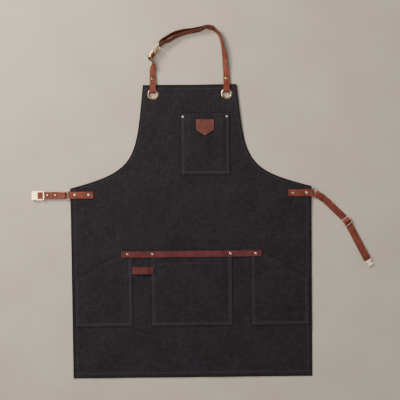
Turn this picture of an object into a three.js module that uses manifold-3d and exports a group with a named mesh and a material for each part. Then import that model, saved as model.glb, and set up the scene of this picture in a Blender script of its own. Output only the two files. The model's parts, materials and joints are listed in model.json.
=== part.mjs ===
// A bib apron lying flat: a canvas panel with pockets, leather straps, metal rings and buckles.
// Millimetres. +X is to the right, +Y runs from the hem up to the bib, +Z is away from the wearer.
// The origin is on the back face of the panel, in the middle of its waist line.
import * as THREE from 'three';
import { mergeVertices } from 'three/addons/utils/BufferGeometryUtils.js';
import Module from 'manifold-3d';

const wasm = await Module();
wasm.setup();

// ---------------------------------------------------------------- driving dimensions

const SKIRT_HALF_WIDTH = 350; // at the waist
const HEM_HALF_WIDTH = 347;
const SKIRT_DROP = 552; // waist to bottom edge
const BIB_HALF_WIDTH = 136;
const BIB_HEIGHT = 298; // waist to top edge
const ARMHOLE_WAIST_PULL = { inward: 193, up: 50 }; // how far the armhole curve reaches at each end
const ARMHOLE_BIB_PULL = { outward: 23, down: 221 };

const CANVAS = 1.3;
const POCKET_CANVAS = 1.2;
const LEATHER = 2.2;
const NECK_LEATHER = 2.0;
const TRIM_LEATHER = 2.0;
const LAYER_GAP = 0.3; // between layers that lie on each other
const CAP_GAP = 0.2; // between a rivet cap and what it holds
const POCKET_LIFT = 4.9; // how far a pocket's front stands off when it is empty

const BELT_WIDTH = 20;
const NECK_WIDTH = 17.5;
const TRIM_WIDTH = 18;

const GROMMET = { x: 107, fromTop: 28, hole: 11.6, flange: 17, wall: 0.9, rise: 2.2 };
const NECK_RIVET_ABOVE_BIB = 17;
const NECK_HINGE_ABOVE_RIVET = 10;

const CHEST = { x: 43.5, top: BIB_HEIGHT - 85, width: 140, height: 176, pen: 40 };
const BADGE = { x: 43, top: CHEST.top - 17, width: 51.5, side: 30, height: 47, thick: 1.8 };
const HIP = { outer: 339, inner: 173.3, bottom: -402, mouth: 205, mouthDrop: 77 };
const CENTRE = { halfWidth: 117, bottom: -402, belowTrim: 1 };
const TRIM = { y: -193.5, halfLength: 203.5, rivets: [112.8, 186], standOff: 4.7 };
const TOOL_LOOP = { left: -172.6, right: -111.5, y: -240, width: 21, standOff: 4.8 };

const TAB = { y: -19.5, length: 67, rivets: [14, 54] }; // rivets measured in from the panel's edge
const RING = { wire: 2.6, radius: 14.2, straight: 2.6, bevel: 0.6, clear: 2.5 };
const BELT_AT_RING = 18.4; // the belt straps are a little narrower where they go through a ring
const LEFT_STRAP = { rivets: [38, 61], bar: 85 }; // distances from the middle of the ring's bow
const RIGHT_STRAP = { heading: -27, bend: 17.5, bendFrom: 16, bendLength: 30, topPly: 31.5,
  slider: 129.5, turn: 18.5, turnLength: 34, plate: 252.5 };

const SLIDER = { length: 23, wire: 2.4, thick: 2, play: 0.8, clear: 0.6 };
const PLATE = { thick: 2, bar: 2, slot: 5, base: 9, neck: 18, length: 23.4 };
const BAR_CLEAR = 0.3; // between a bar and the leather folded round it
const BAR = 2.6; // diameter of the bars that leather folds round
const BUCKLE_WALL = BAR / 2 + BAR_CLEAR + LEATHER + 0.6;
const BUCKLE = {
  keeper: -13.5, wall: BUCKLE_WALL, mouth: BUCKLE_WALL + 17.1, plate: 1.5, slot: 2.8, side: 2.6,
};
const BUCKLE_PLAY = 0.5;
const LEVER_PIVOT = BUCKLE_WALL + 4.8;

const RIVET = { cap: 4.2, rise: 1.8, post: 1.5, back: 1, hole: 1.8 };
const CHEST_RIVET = { ...RIVET, cap: 3.8, rise: 1.4 };
const NECK_RIVET = { ...RIVET, cap: 5.3 };
const ROUND = 14; // sides of a rivet

const FLOOR = -4.2; // what the straps that stand on edge rest on
const LEAN = THREE.MathUtils.degToRad(16); // how far they lean outwards

// ---------------------------------------------------------------- finishes

const finish = (color, roughness, metalness) => ({ color, roughness, metalness });
const CANVAS_BLACK = finish(0x2f2b31, 0.95, 0);
const LEATHER_BROWN = finish(0x6f3b30, 0.55, 0);
const LEATHER_TAN = finish(0x7f4a37, 0.55, 0);
const ANTIQUE_BRASS = finish(0xa5824f, 0.35, 1);
const PALE_GOLD = finish(0xdcc69a, 0.3, 1);
const NICKEL = finish(0xd6d2cc, 0.25, 1);

// ---------------------------------------------------------------- solids

function solidOf(geometry) {
  const bare = geometry.clone();
  bare.deleteAttribute('normal');
  bare.deleteAttribute('uv');
  const merged = mergeVertices(bare, 1e-4);
  return new wasm.Manifold(new wasm.Mesh({
    numProp: 3,
    vertProperties: new Float32Array(merged.attributes.position.array),
    triVerts: new Uint32Array(merged.index.array),
  }));
}

function geometryOf(solid) {
  const made = solid.getMesh();
  const geometry = new THREE.BufferGeometry();
  geometry.setAttribute('position', new THREE.BufferAttribute(made.vertProperties, 3));
  geometry.setIndex(new THREE.BufferAttribute(made.triVerts, 1));
  geometry.computeVertexNormals();
  return geometry;
}

const cut = (geometry, tools) =>
  geometryOf(tools.reduce((solid, tool) => solid.subtract(solidOf(tool)), solidOf(geometry)));

const join = (geometries) =>
  geometryOf(geometries.slice(1).reduce((solid, g) => solid.add(solidOf(g)), solidOf(geometries[0])));

function named(name, geometry, look) {
  const mesh = new THREE.Mesh(geometry, new THREE.MeshStandardMaterial(look));
  mesh.name = name;
  return mesh;
}

// A block of nx by ny cells whose points are placed by a function of (column, row, side), side being -0.5 or 0.5.
function shapedBlock(nx, ny, place) {
  const geometry = new THREE.BoxGeometry(1, 1, 1, nx, ny, 1);
  const points = geometry.getAttribute('position');
  for (let i = 0; i < points.count; i++) {
    const column = Math.round((points.getX(i) + 0.5) * nx);
    const row = Math.round((points.getY(i) + 0.5) * ny);
    const at = place(column, row, points.getZ(i));
    points.setXYZ(i, at.x, at.y, at.z);
  }
  return geometry;
}

// A strap through rows { at, across, width? }: each has its middle point, its width direction and, where it
// differs from the strap's, its own width.
function ribbon(rows, width, thick) {
  const before = new THREE.Vector3();
  const after = new THREE.Vector3();
  const sections = rows.map((row, i) => {
    before.subVectors(row.at, rows[Math.max(i - 1, 0)].at).normalize();
    after.subVectors(rows[Math.min(i + 1, rows.length - 1)].at, row.at).normalize();
    if (i === 0) before.copy(after);
    if (i === rows.length - 1) after.copy(before);
    const mitre = 1 / Math.sqrt((1 + before.dot(after)) / 2);
    const along = before.clone().add(after).normalize();
    const normal = new THREE.Vector3().crossVectors(along, row.across).normalize();
    return { ...row, normal: normal.multiplyScalar(mitre * thick) };
  });
  return shapedBlock(rows.length - 1, 1, (column, edge, side) => {
    const section = sections[column];
    return section.at.clone()
      .addScaledVector(section.across, (edge - 0.5) * (section.width ?? width))
      .addScaledVector(section.normal, side);
  });
}

// Points [s, h] of an arc in a strap's side view, from one angle to another in degrees.
function arc(s, h, radius, from, to, steps) {
  return Array.from({ length: steps + 1 }, (_, i) => {
    const angle = THREE.MathUtils.degToRad(from + ((to - from) * i) / steps);
    return [s + radius * Math.cos(angle), h + radius * Math.sin(angle)];
  });
}

// Rows of a strap from its side view: s runs along, h runs up, and the strap's width is square to both.
function sideRows(base, along, up, points) {
  const across = new THREE.Vector3().crossVectors(up, along).normalize();
  return points.map(([s, h]) => ({
    at: base.clone().addScaledVector(along, s).addScaledVector(up, h),
    across,
  }));
}

const X = new THREE.Vector3(1, 0, 0);
const Y = new THREE.Vector3(0, 1, 0);
const Z = new THREE.Vector3(0, 0, 1);

function extruded(shape, low, high, bevel = 0) {
  const geometry = new THREE.ExtrudeGeometry(shape, {
    depth: high - low - 2 * bevel,
    bevelEnabled: bevel > 0,
    bevelThickness: bevel,
    bevelSize: bevel,
    bevelOffset: -bevel,
    bevelSegments: 1,
    curveSegments: 6,
  });
  return geometry.translate(0, 0, low + bevel);
}

const shapeOf = (points) => new THREE.Shape(points.map(([x, y]) => new THREE.Vector2(x, y)));

// A rectangle's outline, with round corners where a radius is given.
function rectangle(x0, y0, x1, y1, radius = 0) {
  if (radius === 0) return shapeOf([[x0, y0], [x1, y0], [x1, y1], [x0, y1]]);
  return shapeOf([
    ...arc(x1 - radius, y0 + radius, radius, -90, 0, 3),
    ...arc(x1 - radius, y1 - radius, radius, 0, 90, 3),
    ...arc(x0 + radius, y1 - radius, radius, 90, 180, 3),
    ...arc(x0 + radius, y0 + radius, radius, 180, 270, 3),
  ]);
}

const block = (x0, y0, z0, x1, y1, z1) =>
  new THREE.BoxGeometry(x1 - x0, y1 - y0, z1 - z0)
    .translate((x0 + x1) / 2, (y0 + y1) / 2, (z0 + z1) / 2);

const post = (x, y, radius, low, high, sides = 10) =>
  new THREE.CylinderGeometry(radius, radius, high - low, sides)
    .rotateX(Math.PI / 2).translate(x, y, (low + high) / 2);

const lathe = (profile, sides) =>
  new THREE.LatheGeometry(profile.map(([r, z]) => new THREE.Vector2(r, z)), sides).rotateX(Math.PI / 2);

// A rivet on +Z: a domed cap on what it holds at "top", a post, and a flat cap under it at "bottom".
function rivet(size, bottom, top) {
  const low = bottom - CAP_GAP - size.back;
  const high = top + CAP_GAP;
  return lathe([
    [0, low],
    [size.cap * 0.75, low],
    [size.cap * 0.85, low + 0.4],
    [size.cap * 0.85, bottom - CAP_GAP],
    [size.post, bottom - CAP_GAP],
    [size.post, high],
    [size.cap, high],
    [size.cap, high + size.rise * 0.3],
    [size.cap * 0.8, high + size.rise * 0.75],
    [size.cap * 0.4, high + size.rise * 0.97],
    [0, high + size.rise],
  ], ROUND);
}

const apron = new THREE.Group();

const FRONT = CANVAS; // height of the panel's front face
const SEAT = FRONT + LAYER_GAP; // height of what lies on it
const POCKET_FRONT = SEAT + POCKET_CANVAS;
const ON_POCKET = POCKET_FRONT + LAYER_GAP;

// ---------------------------------------------------------------- canvas panel

const armhole = new THREE.CubicBezierCurve(
  new THREE.Vector2(SKIRT_HALF_WIDTH, 0),
  new THREE.Vector2(SKIRT_HALF_WIDTH - ARMHOLE_WAIST_PULL.inward, ARMHOLE_WAIST_PULL.up),
  new THREE.Vector2(BIB_HALF_WIDTH + ARMHOLE_BIB_PULL.outward, BIB_HEIGHT - ARMHOLE_BIB_PULL.down),
  new THREE.Vector2(BIB_HALF_WIDTH, BIB_HEIGHT),
);

// Half widths from the bottom edge up to the bib's top edge.
const SKIRT_ROWS = 8;
const skirt = Array.from({ length: SKIRT_ROWS }, (_, i) => new THREE.Vector2(
  HEM_HALF_WIDTH + ((SKIRT_HALF_WIDTH - HEM_HALF_WIDTH) * i) / SKIRT_ROWS,
  -SKIRT_DROP * (1 - i / SKIRT_ROWS),
));
const outline = [...skirt, ...armhole.getPoints(14)];

function canvasPanel(holes) {
  const columns = 10;
  const sheet = shapedBlock(columns, outline.length - 1, (column, row, side) => new THREE.Vector3(
    outline[row].x * (2 * column / columns - 1),
    outline[row].y,
    CANVAS * (side + 0.5),
  ));
  return cut(sheet, holes.map(({ x, y, radius, sides }) => post(x, y, radius, -5, 5, sides)));
}

// ---------------------------------------------------------------- rivet places

const leftToRight = [-1, 1];
const rivetHole = RIVET.hole;
const chestSide = CHEST.width / 2 - 6.5;
const chestRivets = leftToRight.map((side) => ({ x: CHEST.x + side * chestSide, y: CHEST.top - 8.5 }));
const trimRivets = [-TRIM.rivets[1], -TRIM.rivets[0], TRIM.rivets[0], TRIM.rivets[1]]
  .map((x) => ({ x, y: TRIM.y }));
const tabRivets = leftToRight.flatMap((side) => TAB.rivets.map((inward) => (
  { side, x: side * (SKIRT_HALF_WIDTH - inward), y: TAB.y })));
const grommetY = BIB_HEIGHT - GROMMET.fromTop;
const grommets = leftToRight.map((side) => ({ side, x: side * GROMMET.x, y: grommetY }));

apron.add(named('canvas_panel', canvasPanel([
  ...[...chestRivets, ...trimRivets, ...tabRivets].map((p) => ({ ...p, radius: rivetHole, sides: 8 })),
  ...grommets.map((p) => ({ ...p, radius: GROMMET.hole + GROMMET.wall + LAYER_GAP, sides: 24 })),
]), CANVAS_BLACK));

// ---------------------------------------------------------------- pockets

const smooth = (from, to, value) => THREE.MathUtils.smoothstep(value, from, to);

// How far a pocket's front is lifted at x between two seams, each with a flat allowance.
function billow(x, left, right, allowance, ramp) {
  return smooth(left + allowance, left + allowance + ramp, x)
    * (1 - smooth(right - allowance - ramp, right - allowance, x));
}

const SEAM = 12; // flat cloth beside a seam
const RAMP = 10;

// Column places across a pocket, close together where its front rises and falls.
function columnsOf(left, right, allowance = SEAM, ramp = RAMP) {
  const rise = [0, 0.33, 0.67, 1].map((t) => left + allowance + ramp * t);
  const fall = [1, 0.67, 0.33, 0].map((t) => right - allowance - ramp * t);
  return [left, ...rise, (left + right) / 2, ...fall, right];
}

// A pocket front between a bottom and a top height that may change across it, sewn down at its bottom.
function pocket({ xs, bottom, topAt, lift, thick, holes }) {
  const rise = [0, 0.02, 0.05, 0.08, 0.12, 0.5, 1];
  const sheet = shapedBlock(xs.length - 1, rise.length - 1, (column, row, side) => {
    const x = xs[column];
    const up = smooth(0.02, 0.12, rise[row]);
    const y = bottom + (topAt(x) - bottom) * rise[row];
    return new THREE.Vector3(x, y, SEAT + POCKET_LIFT * lift(x) * up + thick * (side + 0.5));
  });
  return cut(sheet, holes.map(({ x, y }) => post(x, y, rivetHole, -5, 20, 8)));
}

const chestLeft = CHEST.x - CHEST.width / 2;
const chestRight = CHEST.x + CHEST.width / 2;
const chestDivider = chestRight - CHEST.pen;
const PEN_SEAM = 3;
const PEN_RAMP = 7;
apron.add(named('chest_pocket', pocket({
  xs: [...columnsOf(chestLeft, chestDivider, SEAM, RAMP).slice(0, 6),
    ...[1, 0.5, 0].map((t) => chestDivider - PEN_SEAM - PEN_RAMP * t),
    ...[0, 0.5, 1].map((t) => chestDivider + PEN_SEAM + PEN_RAMP * t),
    ...[1, 0.5, 0].map((t) => chestRight - SEAM - PEN_RAMP * t), chestRight],
  bottom: CHEST.top - CHEST.height,
  topAt: () => CHEST.top,
  lift: (x) => smooth(chestLeft + SEAM, chestLeft + SEAM + RAMP, x)
      * (1 - smooth(chestDivider - PEN_SEAM - PEN_RAMP, chestDivider - PEN_SEAM, x))
    + smooth(chestDivider + PEN_SEAM, chestDivider + PEN_SEAM + PEN_RAMP, x)
      * (1 - smooth(chestRight - SEAM - PEN_RAMP, chestRight - SEAM, x)),
  thick: POCKET_CANVAS,
  holes: chestRivets,
}), CANVAS_BLACK));

const trimEdge = TRIM.y - TRIM_WIDTH / 2;
const EAR = 8; // width of the centre pocket's corners under the trim strap
const pocketEar = TRIM.y + TRIM_WIDTH / 2 - 2; // pocket corners reach up under the trim strap

for (const side of leftToRight) {
  const left = Math.min(side * HIP.inner, side * HIP.outer);
  const right = Math.max(side * HIP.inner, side * HIP.outer);
  const slope = HIP.mouthDrop / (HIP.outer - HIP.mouth);
  const earEnd = HIP.mouth - 5;
  const mouthX = [HIP.mouth, HIP.mouth + 8].map((x) => side * x);
  const xs = [...columnsOf(left, right), ...mouthX, side * earEnd].sort((a, b) => a - b);
  apron.add(named(side < 0 ? 'left_hip_pocket' : 'right_hip_pocket', pocket({
    xs,
    bottom: HIP.bottom,
    topAt: (x) => pocketEar - Math.max(0, (Math.abs(x) - earEnd) * slope),
    lift: (x) => smooth(HIP.mouth, HIP.mouth + 20, Math.abs(x))
      * (1 - smooth(HIP.outer - SEAM - RAMP, HIP.outer - SEAM, Math.abs(x))),
    thick: POCKET_CANVAS,
    holes: trimRivets.filter((p) => Math.sign(p.x) === side && Math.abs(p.x) > HIP.inner),
  }), CANVAS_BLACK));
}

const centreMouth = trimEdge - CENTRE.belowTrim;
apron.add(named('centre_pocket', pocket({
  xs: [...columnsOf(-CENTRE.halfWidth, CENTRE.halfWidth), CENTRE.halfWidth - EAR, EAR - CENTRE.halfWidth]
    .sort((a, b) => a - b),
  bottom: CENTRE.bottom,
  topAt: (x) => (Math.abs(x) >= CENTRE.halfWidth - EAR ? pocketEar : centreMouth),
  lift: (x) => billow(x, -CENTRE.halfWidth, CENTRE.halfWidth, SEAM, RAMP),
  thick: POCKET_CANVAS,
  holes: trimRivets.filter((p) => Math.abs(p.x) < CENTRE.halfWidth),
}), CANVAS_BLACK));

// ---------------------------------------------------------------- leather on the panel

const badge = shapeOf([
  [BADGE.x - BADGE.width / 2, BADGE.top],
  [BADGE.x - BADGE.width / 2, BADGE.top - BADGE.side],
  [BADGE.x, BADGE.top - BADGE.height],
  [BADGE.x + BADGE.width / 2, BADGE.top - BADGE.side],
  [BADGE.x + BADGE.width / 2, BADGE.top],
]);
const badgeBack = ON_POCKET + POCKET_LIFT;
apron.add(named('badge', extruded(badge, badgeBack, badgeBack + BADGE.thick), LEATHER_BROWN));

const trimLow = ON_POCKET + TRIM_LEATHER / 2;
const trimHigh = FRONT + TRIM.standOff + TRIM_LEATHER / 2;
const trimRise = TRIM.rivets[0] - 8;
const trimRows = sideRows(new THREE.Vector3(0, TRIM.y, 0), X, Z, [
  [-TRIM.halfLength, trimLow], [-trimRise, trimLow], [-trimRise + 10, (trimLow + trimHigh) / 2],
  [-trimRise + 20, trimHigh], [trimRise - 20, trimHigh], [trimRise - 10, (trimLow + trimHigh) / 2],
  [trimRise, trimLow], [TRIM.halfLength, trimLow],
]);
apron.add(named('towel_strap', cut(
  ribbon(trimRows, TRIM_WIDTH, TRIM_LEATHER),
  trimRivets.map(({ x, y }) => post(x, y, rivetHole, -5, 20, 8)),
), LEATHER_BROWN));

const loopLow = SEAT + TRIM_LEATHER / 2;
const loopHigh = FRONT + TOOL_LOOP.standOff + TRIM_LEATHER / 2;
const loopOnPocket = ON_POCKET + TRIM_LEATHER / 2;
const loopRows = sideRows(new THREE.Vector3(0, TOOL_LOOP.y, 0), X, Z, [
  [TOOL_LOOP.left, loopLow], [TOOL_LOOP.left + 5, loopLow],
  [TOOL_LOOP.left + 10, loopLow + 0.6 * (loopHigh - loopLow)], [TOOL_LOOP.left + 15, loopHigh],
  [TOOL_LOOP.right - 17, loopHigh], [TOOL_LOOP.right - 12, loopOnPocket + 0.6 * (loopHigh - loopOnPocket)],
  [TOOL_LOOP.right - 7, loopOnPocket], [TOOL_LOOP.right, loopOnPocket],
]);
apron.add(named('tool_loop', ribbon(loopRows, TOOL_LOOP.width, TRIM_LEATHER), LEATHER_BROWN));

// ---------------------------------------------------------------- rivets through the panel

const addRivet = (name, { x, y }, size, bottom, top, look) => {
  const mesh = named(name, rivet(size, bottom, top), look);
  mesh.position.set(x, y, 0);
  apron.add(mesh);
};
const letters = ['a', 'b', 'c', 'd'];
chestRivets.forEach((p, i) =>
  addRivet(`chest_rivet_${letters[i]}`, p, CHEST_RIVET, 0, POCKET_FRONT, NICKEL));
const trimTop = ON_POCKET + TRIM_LEATHER;
trimRivets.forEach((p, i) => addRivet(`towel_rivet_${letters[i]}`, p, RIVET, 0, trimTop, ANTIQUE_BRASS));

// ---------------------------------------------------------------- waist tabs and their rings

const SANDWICH = CANVAS / 2; // height of the middle of the cloth
const foldInner = RING.wire / 2 + 0.35;
const ringBarX = SKIRT_HALF_WIDTH + RING.clear;
const bowCentreX = ringBarX + RING.straight;
const tabBackZ = -LAYER_GAP - LEATHER;

for (const side of leftToRight) {
  const prefix = side < 0 ? 'left' : 'right';
  const front = SEAT + LEATHER / 2 - SANDWICH;
  const back = -LAYER_GAP - LEATHER / 2 - SANDWICH;
  const fold = foldInner + LEATHER / 2;
  const tabEnd = -(TAB.length + RING.clear);
  const rows = sideRows(new THREE.Vector3(side * ringBarX, TAB.y, SANDWICH), new THREE.Vector3(side, 0, 0), Z, [
    [tabEnd, front], [-8, front], [-4, (front + fold) / 2],
    ...arc(0, 0, fold, 90, -90, 8),
    [-4, (back - fold) / 2], [-8, back], [tabEnd, back],
  ]);
  apron.add(named(`${prefix}_waist_tab`, cut(
    ribbon(rows, BELT_WIDTH, LEATHER),
    tabRivets.filter((p) => p.side === side).map(({ x, y }) => post(x, y, rivetHole, -9, 9, 8)),
  ), LEATHER_BROWN));
  tabRivets.filter((p) => p.side === side).forEach((p, i) => addRivet(
    `${prefix}_tab_rivet_${letters[i]}`, p, RIVET, tabBackZ, SEAT + LEATHER, ANTIQUE_BRASS));
}

// A D-shaped ring in its own plane: its straight bar on the Y axis, its bow towards +X.
function dRing() {
  const edge = (radius, bar) => [
    [bar, radius], [bar, -radius], ...arc(RING.straight, 0, radius, -90, 90, 14),
  ];
  const ring = shapeOf(edge(RING.radius + RING.wire / 2, -RING.wire / 2));
  ring.holes.push(shapeOf(edge(RING.radius - RING.wire / 2, RING.wire / 2)));
  return extruded(ring, -RING.wire / 2, RING.wire / 2, RING.bevel);
}

for (const side of leftToRight) {
  const mesh = named(side < 0 ? 'left_ring' : 'right_ring', dRing(), ANTIQUE_BRASS);
  mesh.position.set(side * ringBarX, TAB.y, SANDWICH);
  mesh.rotation.z = side < 0 ? Math.PI : 0;
  apron.add(mesh);
}

// ---------------------------------------------------------------- buckles

// Sizes across a buckle for a strap of a given width.
function acrossOf(strapWidth) {
  const inner = strapWidth / 2 + 0.4;
  return {
    inner,
    outer: inner + BUCKLE.side,
    head: inner - 0.9,
    neck: inner - 3.9,
    hook: inner - 2.4,
    pivot: inner + 1,
    tail: inner + 1.2,
    grip: inner + 3.6,
  };
}

const HALF_SLOT = BUCKLE.slot / 2;
const HALF_BAR = BAR / 2;
const KEEPER_LOW = HALF_BAR + BAR_CLEAR + LEATHER - 0.7; // the keeper passes over both plies
const KEEPER_TOP = KEEPER_LOW + 2;

// One side rail seen from the side: from the body past the strap bar, then up to the keeper bar.
function rail(y0, y1) {
  const end = BUCKLE.keeper - 1.2;
  const foot = -HALF_SLOT - BUCKLE.plate / 2;
  const shape = shapeOf([
    [end, KEEPER_TOP], [end, KEEPER_LOW - 0.1], [end + 4.5, foot],
    [BUCKLE.wall + 3, foot], [BUCKLE.wall + 3, -HALF_SLOT - 0.05],
    [BUCKLE.wall - 0.8, -HALF_SLOT - 0.05], [BUCKLE.wall - 0.8, HALF_BAR], [end + 6.2, HALF_BAR],
    [end + 2.6, KEEPER_TOP],
  ]);
  return extruded(shape, y0, y1).rotateX(Math.PI / 2);
}

// The receiving half: the strap bar on the Y axis, the mouth towards +X.
function femaleBuckle(prefix, strapWidth) {
  const at = acrossOf(strapWidth);
  const group = new THREE.Group();
  const body = (low, high) => extruded(
    rectangle(BUCKLE.wall, -at.outer, BUCKLE.mouth, at.outer, 2), low, high, 0.4);
  const holes = leftToRight.map((side) => post(LEVER_PIVOT, side * at.pivot, 1.2, -9, 9));
  const bars = [
    new THREE.CylinderGeometry(HALF_BAR, HALF_BAR, 2 * at.outer - 2, 12),
    block(BUCKLE.keeper - 1.2, -at.outer + 1, KEEPER_LOW, BUCKLE.keeper + 1.2, at.outer - 1, KEEPER_TOP),
  ];
  const backWall = block(
    BUCKLE.wall, -at.inner + 1.4, -HALF_SLOT - 0.5, BUCKLE.wall + 0.9, at.inner - 1.4, HALF_SLOT - 0.3);
  const frame = join([
    body(-HALF_SLOT - BUCKLE.plate, -HALF_SLOT),
    rail(-at.outer, -at.inner),
    rail(at.inner, at.outer),
    ...bars,
    backWall,
  ]);
  group.add(named(`${prefix}_buckle_base`, cut(frame, holes), PALE_GOLD));
  group.add(named(`${prefix}_buckle_cover`, cut(body(HALF_SLOT, HALF_SLOT + BUCKLE.plate), holes), PALE_GOLD));
  for (const side of leftToRight) {
    const points = [
      [BUCKLE.wall + 0.3, at.tail], [BUCKLE.wall + 0.3, at.grip], [LEVER_PIVOT - 1, at.grip - 0.2],
      [LEVER_PIVOT + 3, at.outer - 0.3], [BUCKLE.mouth - 0.7, at.outer - 0.3],
      [BUCKLE.mouth - 0.7, at.head + 0.7], [BUCKLE.mouth - 4.1, at.head + 0.4],
      [BUCKLE.mouth - 4.9, at.hook], [BUCKLE.mouth - 7.9, at.hook], [BUCKLE.mouth - 8.1, at.head + 0.4],
      [LEVER_PIVOT - 2, at.head + 0.4], [LEVER_PIVOT - 3.2, at.tail],
    ];
    const lever = shapeOf(points.map(([x, y]) => [x, side * y]));
    const name = `${prefix}_lever_${side < 0 ? 'a' : 'b'}`;
    group.add(named(name, cut(extruded(lever, -1.1, 1.1), [
      post(LEVER_PIVOT, side * at.pivot, 1.2, -3, 3),
    ]), PALE_GOLD));
    group.add(named(`${prefix}_lever_pin_${side < 0 ? 'a' : 'b'}`,
      post(LEVER_PIVOT, side * at.pivot, 1, -HALF_SLOT - BUCKLE.plate, HALF_SLOT + BUCKLE.plate), NICKEL));
  }
  const springX = BUCKLE.wall + 1.2;
  group.add(named(`${prefix}_lever_spring`,
    block(springX, -at.tail + 0.3, -1, springX + 0.45, at.tail - 0.3, 1), NICKEL));
  return group;
}

// The plate that clicks in: its strap bar on the Y axis, its head towards +X.
function malePlate(name, strapWidth) {
  const at = acrossOf(strapWidth);
  const half = at.outer - 1.5;
  const edge = [
    [-PLATE.bar / 2, half], [PLATE.base, half], [PLATE.base, at.head], [PLATE.base + 1.5, at.neck],
    [PLATE.neck - 0.6, at.neck], [PLATE.neck, at.neck + 0.6], [PLATE.neck, at.head],
    [PLATE.length - 1.2, at.head], [PLATE.length, at.head - 1.5],
  ];
  const shape = shapeOf([...edge, ...edge.slice().reverse().map(([x, y]) => [x, -y])]);
  shape.holes.push(rectangle(PLATE.bar / 2, -at.inner, PLATE.slot, at.inner));
  return named(name, extruded(shape, -PLATE.thick / 2, PLATE.thick / 2), PALE_GOLD);
}

// The frame with a middle bar that a strap is threaded through, its middle bar on the Y axis.
function slider(name, strapWidth) {
  const halfLength = SLIDER.length / 2;
  const inner = strapWidth / 2 + SLIDER.play;
  const frame = rectangle(-halfLength, -inner - SLIDER.wire, halfLength, inner + SLIDER.wire, 2);
  const slots = leftToRight.map((side) => {
    const ends = [side * (SLIDER.wire / 2), side * (halfLength - SLIDER.wire)].sort((a, b) => a - b);
    return block(ends[0], -inner, -SLIDER.thick, ends[1], inner, SLIDER.thick);
  });
  return named(name, cut(extruded(frame, -SLIDER.thick / 2, SLIDER.thick / 2, 0.4), slots), PALE_GOLD);
}

// ---------------------------------------------------------------- left waist strap

// Distance from a bar's middle to the middle of the leather folded round it.
const foldRound = (barRadius, leather) => barRadius + BAR_CLEAR + leather / 2;
const ringPly = foldRound(RING.wire / 2, LEATHER);
const buckleFold = foldRound(HALF_BAR, LEATHER);
const touching = LAYER_GAP / 2 + LEATHER / 2; // height of a ply that lies on its other half
const bowInside = Math.sqrt((RING.radius - RING.wire / 2) ** 2 - (BELT_AT_RING / 2) ** 2);

// The fold round a ring's bow: from the under ply, round, to the upper ply.
const ringFoldPoints = arc(bowInside - BAR_CLEAR + ringPly - LEATHER / 2, 0, ringPly, 270, 90, 8);
const channelEnd = RING.radius + RING.wire / 2 + 1.5;
const narrowed = (row, s) => ({ ...row, width: s < channelEnd + 1 ? BELT_AT_RING : BELT_WIDTH });

{
  const base = new THREE.Vector3(-bowCentreX, TAB.y, SANDWICH);
  const bar = LEFT_STRAP.bar;
  const middle = (LEFT_STRAP.rivets[0] + LEFT_STRAP.rivets[1]) / 2;
  const rows = sideRows(base, new THREE.Vector3(-1, 0, 0), Z, [
    [middle - 0.6, -touching], [channelEnd + 12, -touching], [channelEnd, -ringPly],
    ...ringFoldPoints,
    [channelEnd, ringPly], [channelEnd + 12, touching], [bar - 16, touching], [bar - 6, buckleFold - 0.3],
    ...arc(bar, 0, buckleFold, 90, -90, 8),
    [bar - 6, -buckleFold + 0.3], [bar - 16, -touching], [middle + 0.6, -touching],
  ]).map((row) => narrowed(row, -bowCentreX - row.at.x));
  const places = LEFT_STRAP.rivets.map((s) => ({ x: -bowCentreX - s, y: TAB.y }));
  apron.add(named('left_strap', cut(
    ribbon(rows, BELT_WIDTH, LEATHER),
    places.map(({ x, y }) => post(x, y, rivetHole, -9, 9, 8)),
  ), LEATHER_TAN));
  const half = touching + LEATHER / 2;
  places.forEach((p, i) => addRivet(
    `left_strap_rivet_${letters[i]}`, p, RIVET, SANDWICH - half, SANDWICH + half, ANTIQUE_BRASS));

  const buckle = femaleBuckle('waist', BELT_WIDTH);
  buckle.position.set(-bowCentreX - bar, TAB.y, SANDWICH);
  buckle.rotation.z = Math.PI;
  apron.add(buckle);
}

// ---------------------------------------------------------------- right waist strap

// A path on the floor made of straights and turns: walks a distance and gives place and heading.
function walk(start, heading, pieces, distance) {
  const at = new THREE.Vector3(start.x, start.y, 0);
  let angle = THREE.MathUtils.degToRad(heading);
  let left = distance;
  for (const { length, turn = 0 } of pieces) {
    const step = Math.min(left, length);
    const bend = THREE.MathUtils.degToRad((turn * step) / length);
    const chord = bend === 0 ? step : (2 * step * Math.sin(bend / 2)) / bend;
    at.x += chord * Math.cos(angle + bend / 2);
    at.y += chord * Math.sin(angle + bend / 2);
    angle += bend;
    left -= step;
    if (left <= 0) break;
  }
  return { at, angle };
}

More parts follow.
